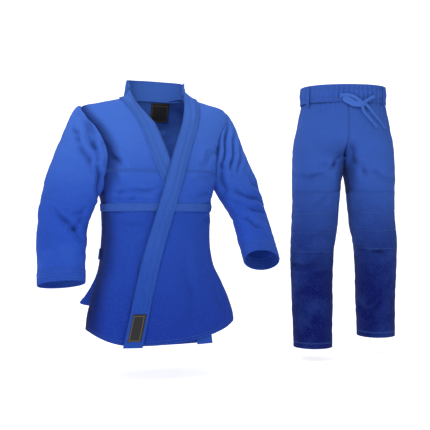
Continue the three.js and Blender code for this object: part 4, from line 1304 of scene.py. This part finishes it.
knot = bmesh.new()
bmesh.ops.create_uvsphere(knot, u_segments=32, v_segments=20, radius=1)
for vert in knot.verts:
    p = vert.co.copy()
    swirl = 1 + 0.16 * math.sin(3 * math.atan2(p.z, p.x) + 4 * p.y) + 0.08 * noise.noise(p * 2.3)
    vert.co = Vector((p.x * 0.0095, p.y * 0.0058, p.z * 0.0078)) * swirl
knotCentre = onFront(np.array(0.047), bandBottom - 0.017, 0.0074 + 0.0006 + 0.006)
bmesh.ops.translate(knot, verts=knot.verts, vec=tuple(knotCentre))
for face in knot.faces:
    face.smooth = True
knotLayer = knot.loops.layers.uv.new("cloth")
for face in knot.faces:
    for corner in face.loops:
        offset = corner.vert.co - Vector(knotCentre)
        corner[knotLayer].uv = (offset.x + offset.y, offset.z - offset.y)
knotMesh = bpy.data.meshes.new("drawstringKnot")
knot.to_mesh(knotMesh)
knot.free()
knotMesh.materials.append(cordCloth)
knotPiece = bpy.data.objects.new("drawstringKnot", knotMesh)
scene.collection.objects.link(knotPiece)
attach(knotPiece, "garment_body")
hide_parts("drawstring_knot")

first, line, total = tapePiece("drawstringLong", ["lead_left", "tail_left"])
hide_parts("drawstring_lead_left", "drawstring_tail_left")
[tuple(p) for p in line[::4]] + [tuple(line[-1])]
second, line, total = tapePiece("drawstringBow", ["lead_right", "loop", "tail_right"])
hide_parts("drawstring_lead_right", "drawstring_loop", "drawstring_tail_right")
[tuple(p) for p in line[::4]] + [tuple(line[-1])]
print("drawstring tied")

# studio
floorFinish = Finish("paleGlowingFloor")
floorFinish.shader.inputs["Base Color"].default_value = (0.93, 0.93, 0.94, 1)
floorFinish.set(roughness=0.9, specular=0.1)
# painted light: the floor and backdrop glow with their own white light, which washes out the shadows on the
# floor and lights the cloth from below and behind
floorFinish.shader.inputs["Emission Color"].default_value = (1, 1, 1, 1)
floorFinish.shader.inputs["Emission Strength"].default_value = studio["glow"]
sweep = bmesh.new()
bmesh.ops.create_grid(sweep, x_segments=2, y_segments=40, size=1)
for vert in sweep.verts:
    t = (vert.co.y + 1) / 2 * 15.0
    radius = 1.2
    flat = studio["back"] - radius + 4.0
    if t < flat:
        y, z = -4.0 + t, 0.0
    elif t < flat + radius * math.pi / 2:
        bend = (t - flat) / radius
        y, z = -4.0 + flat + radius * math.sin(bend), radius * (1 - math.cos(bend))
    else:
        y, z = studio["back"], radius + t - flat - radius * math.pi / 2
    vert.co = Vector((vert.co.x * 6, y, z + studio["floor"]))
for face in sweep.faces:
    face.smooth = True
sweepMesh = bpy.data.meshes.new("studioSweep")
sweep.to_mesh(sweepMesh)
sweep.free()
sweepMesh.materials.append(floorFinish.material)
sweepPiece = bpy.data.objects.new("studioSweep", sweepMesh)
scene.collection.objects.link(sweepPiece)


def softLight(name, place, aim, size, power, colour=(1, 1, 1)):
    data = bpy.data.lights.new(name, "AREA")
    data.shape, data.size, data.energy, data.color = "DISK", size, power, colour
    lamp = bpy.data.objects.new(name, data)
    lamp.location = place
    lamp.rotation_euler = (Vector(aim) - Vector(place)).to_track_quat("-Z", "Y").to_euler()
    scene.collection.objects.link(lamp)


softLight("keyLight", (-0.9, -1.9, 1.9), (0.2, 0, -0.35), 1.1, studio["key"])
softLight("fillLight", (1.9, -2.2, 0.8), (0.3, 0, -0.4), 1.6, studio["fill"])
softLight("topLight", (0.4, 0.4, 2.2), (0.3, 0.1, -0.3), 1.4, studio["rim"])
sky = bpy.data.worlds.new("softSky")
sky.use_nodes = True
sky.node_tree.nodes["Background"].inputs[0].default_value = (1, 1, 1, 1)
sky.node_tree.nodes["Background"].inputs[1].default_value = studio["sky"]
scene.world = sky
print("studio lit")
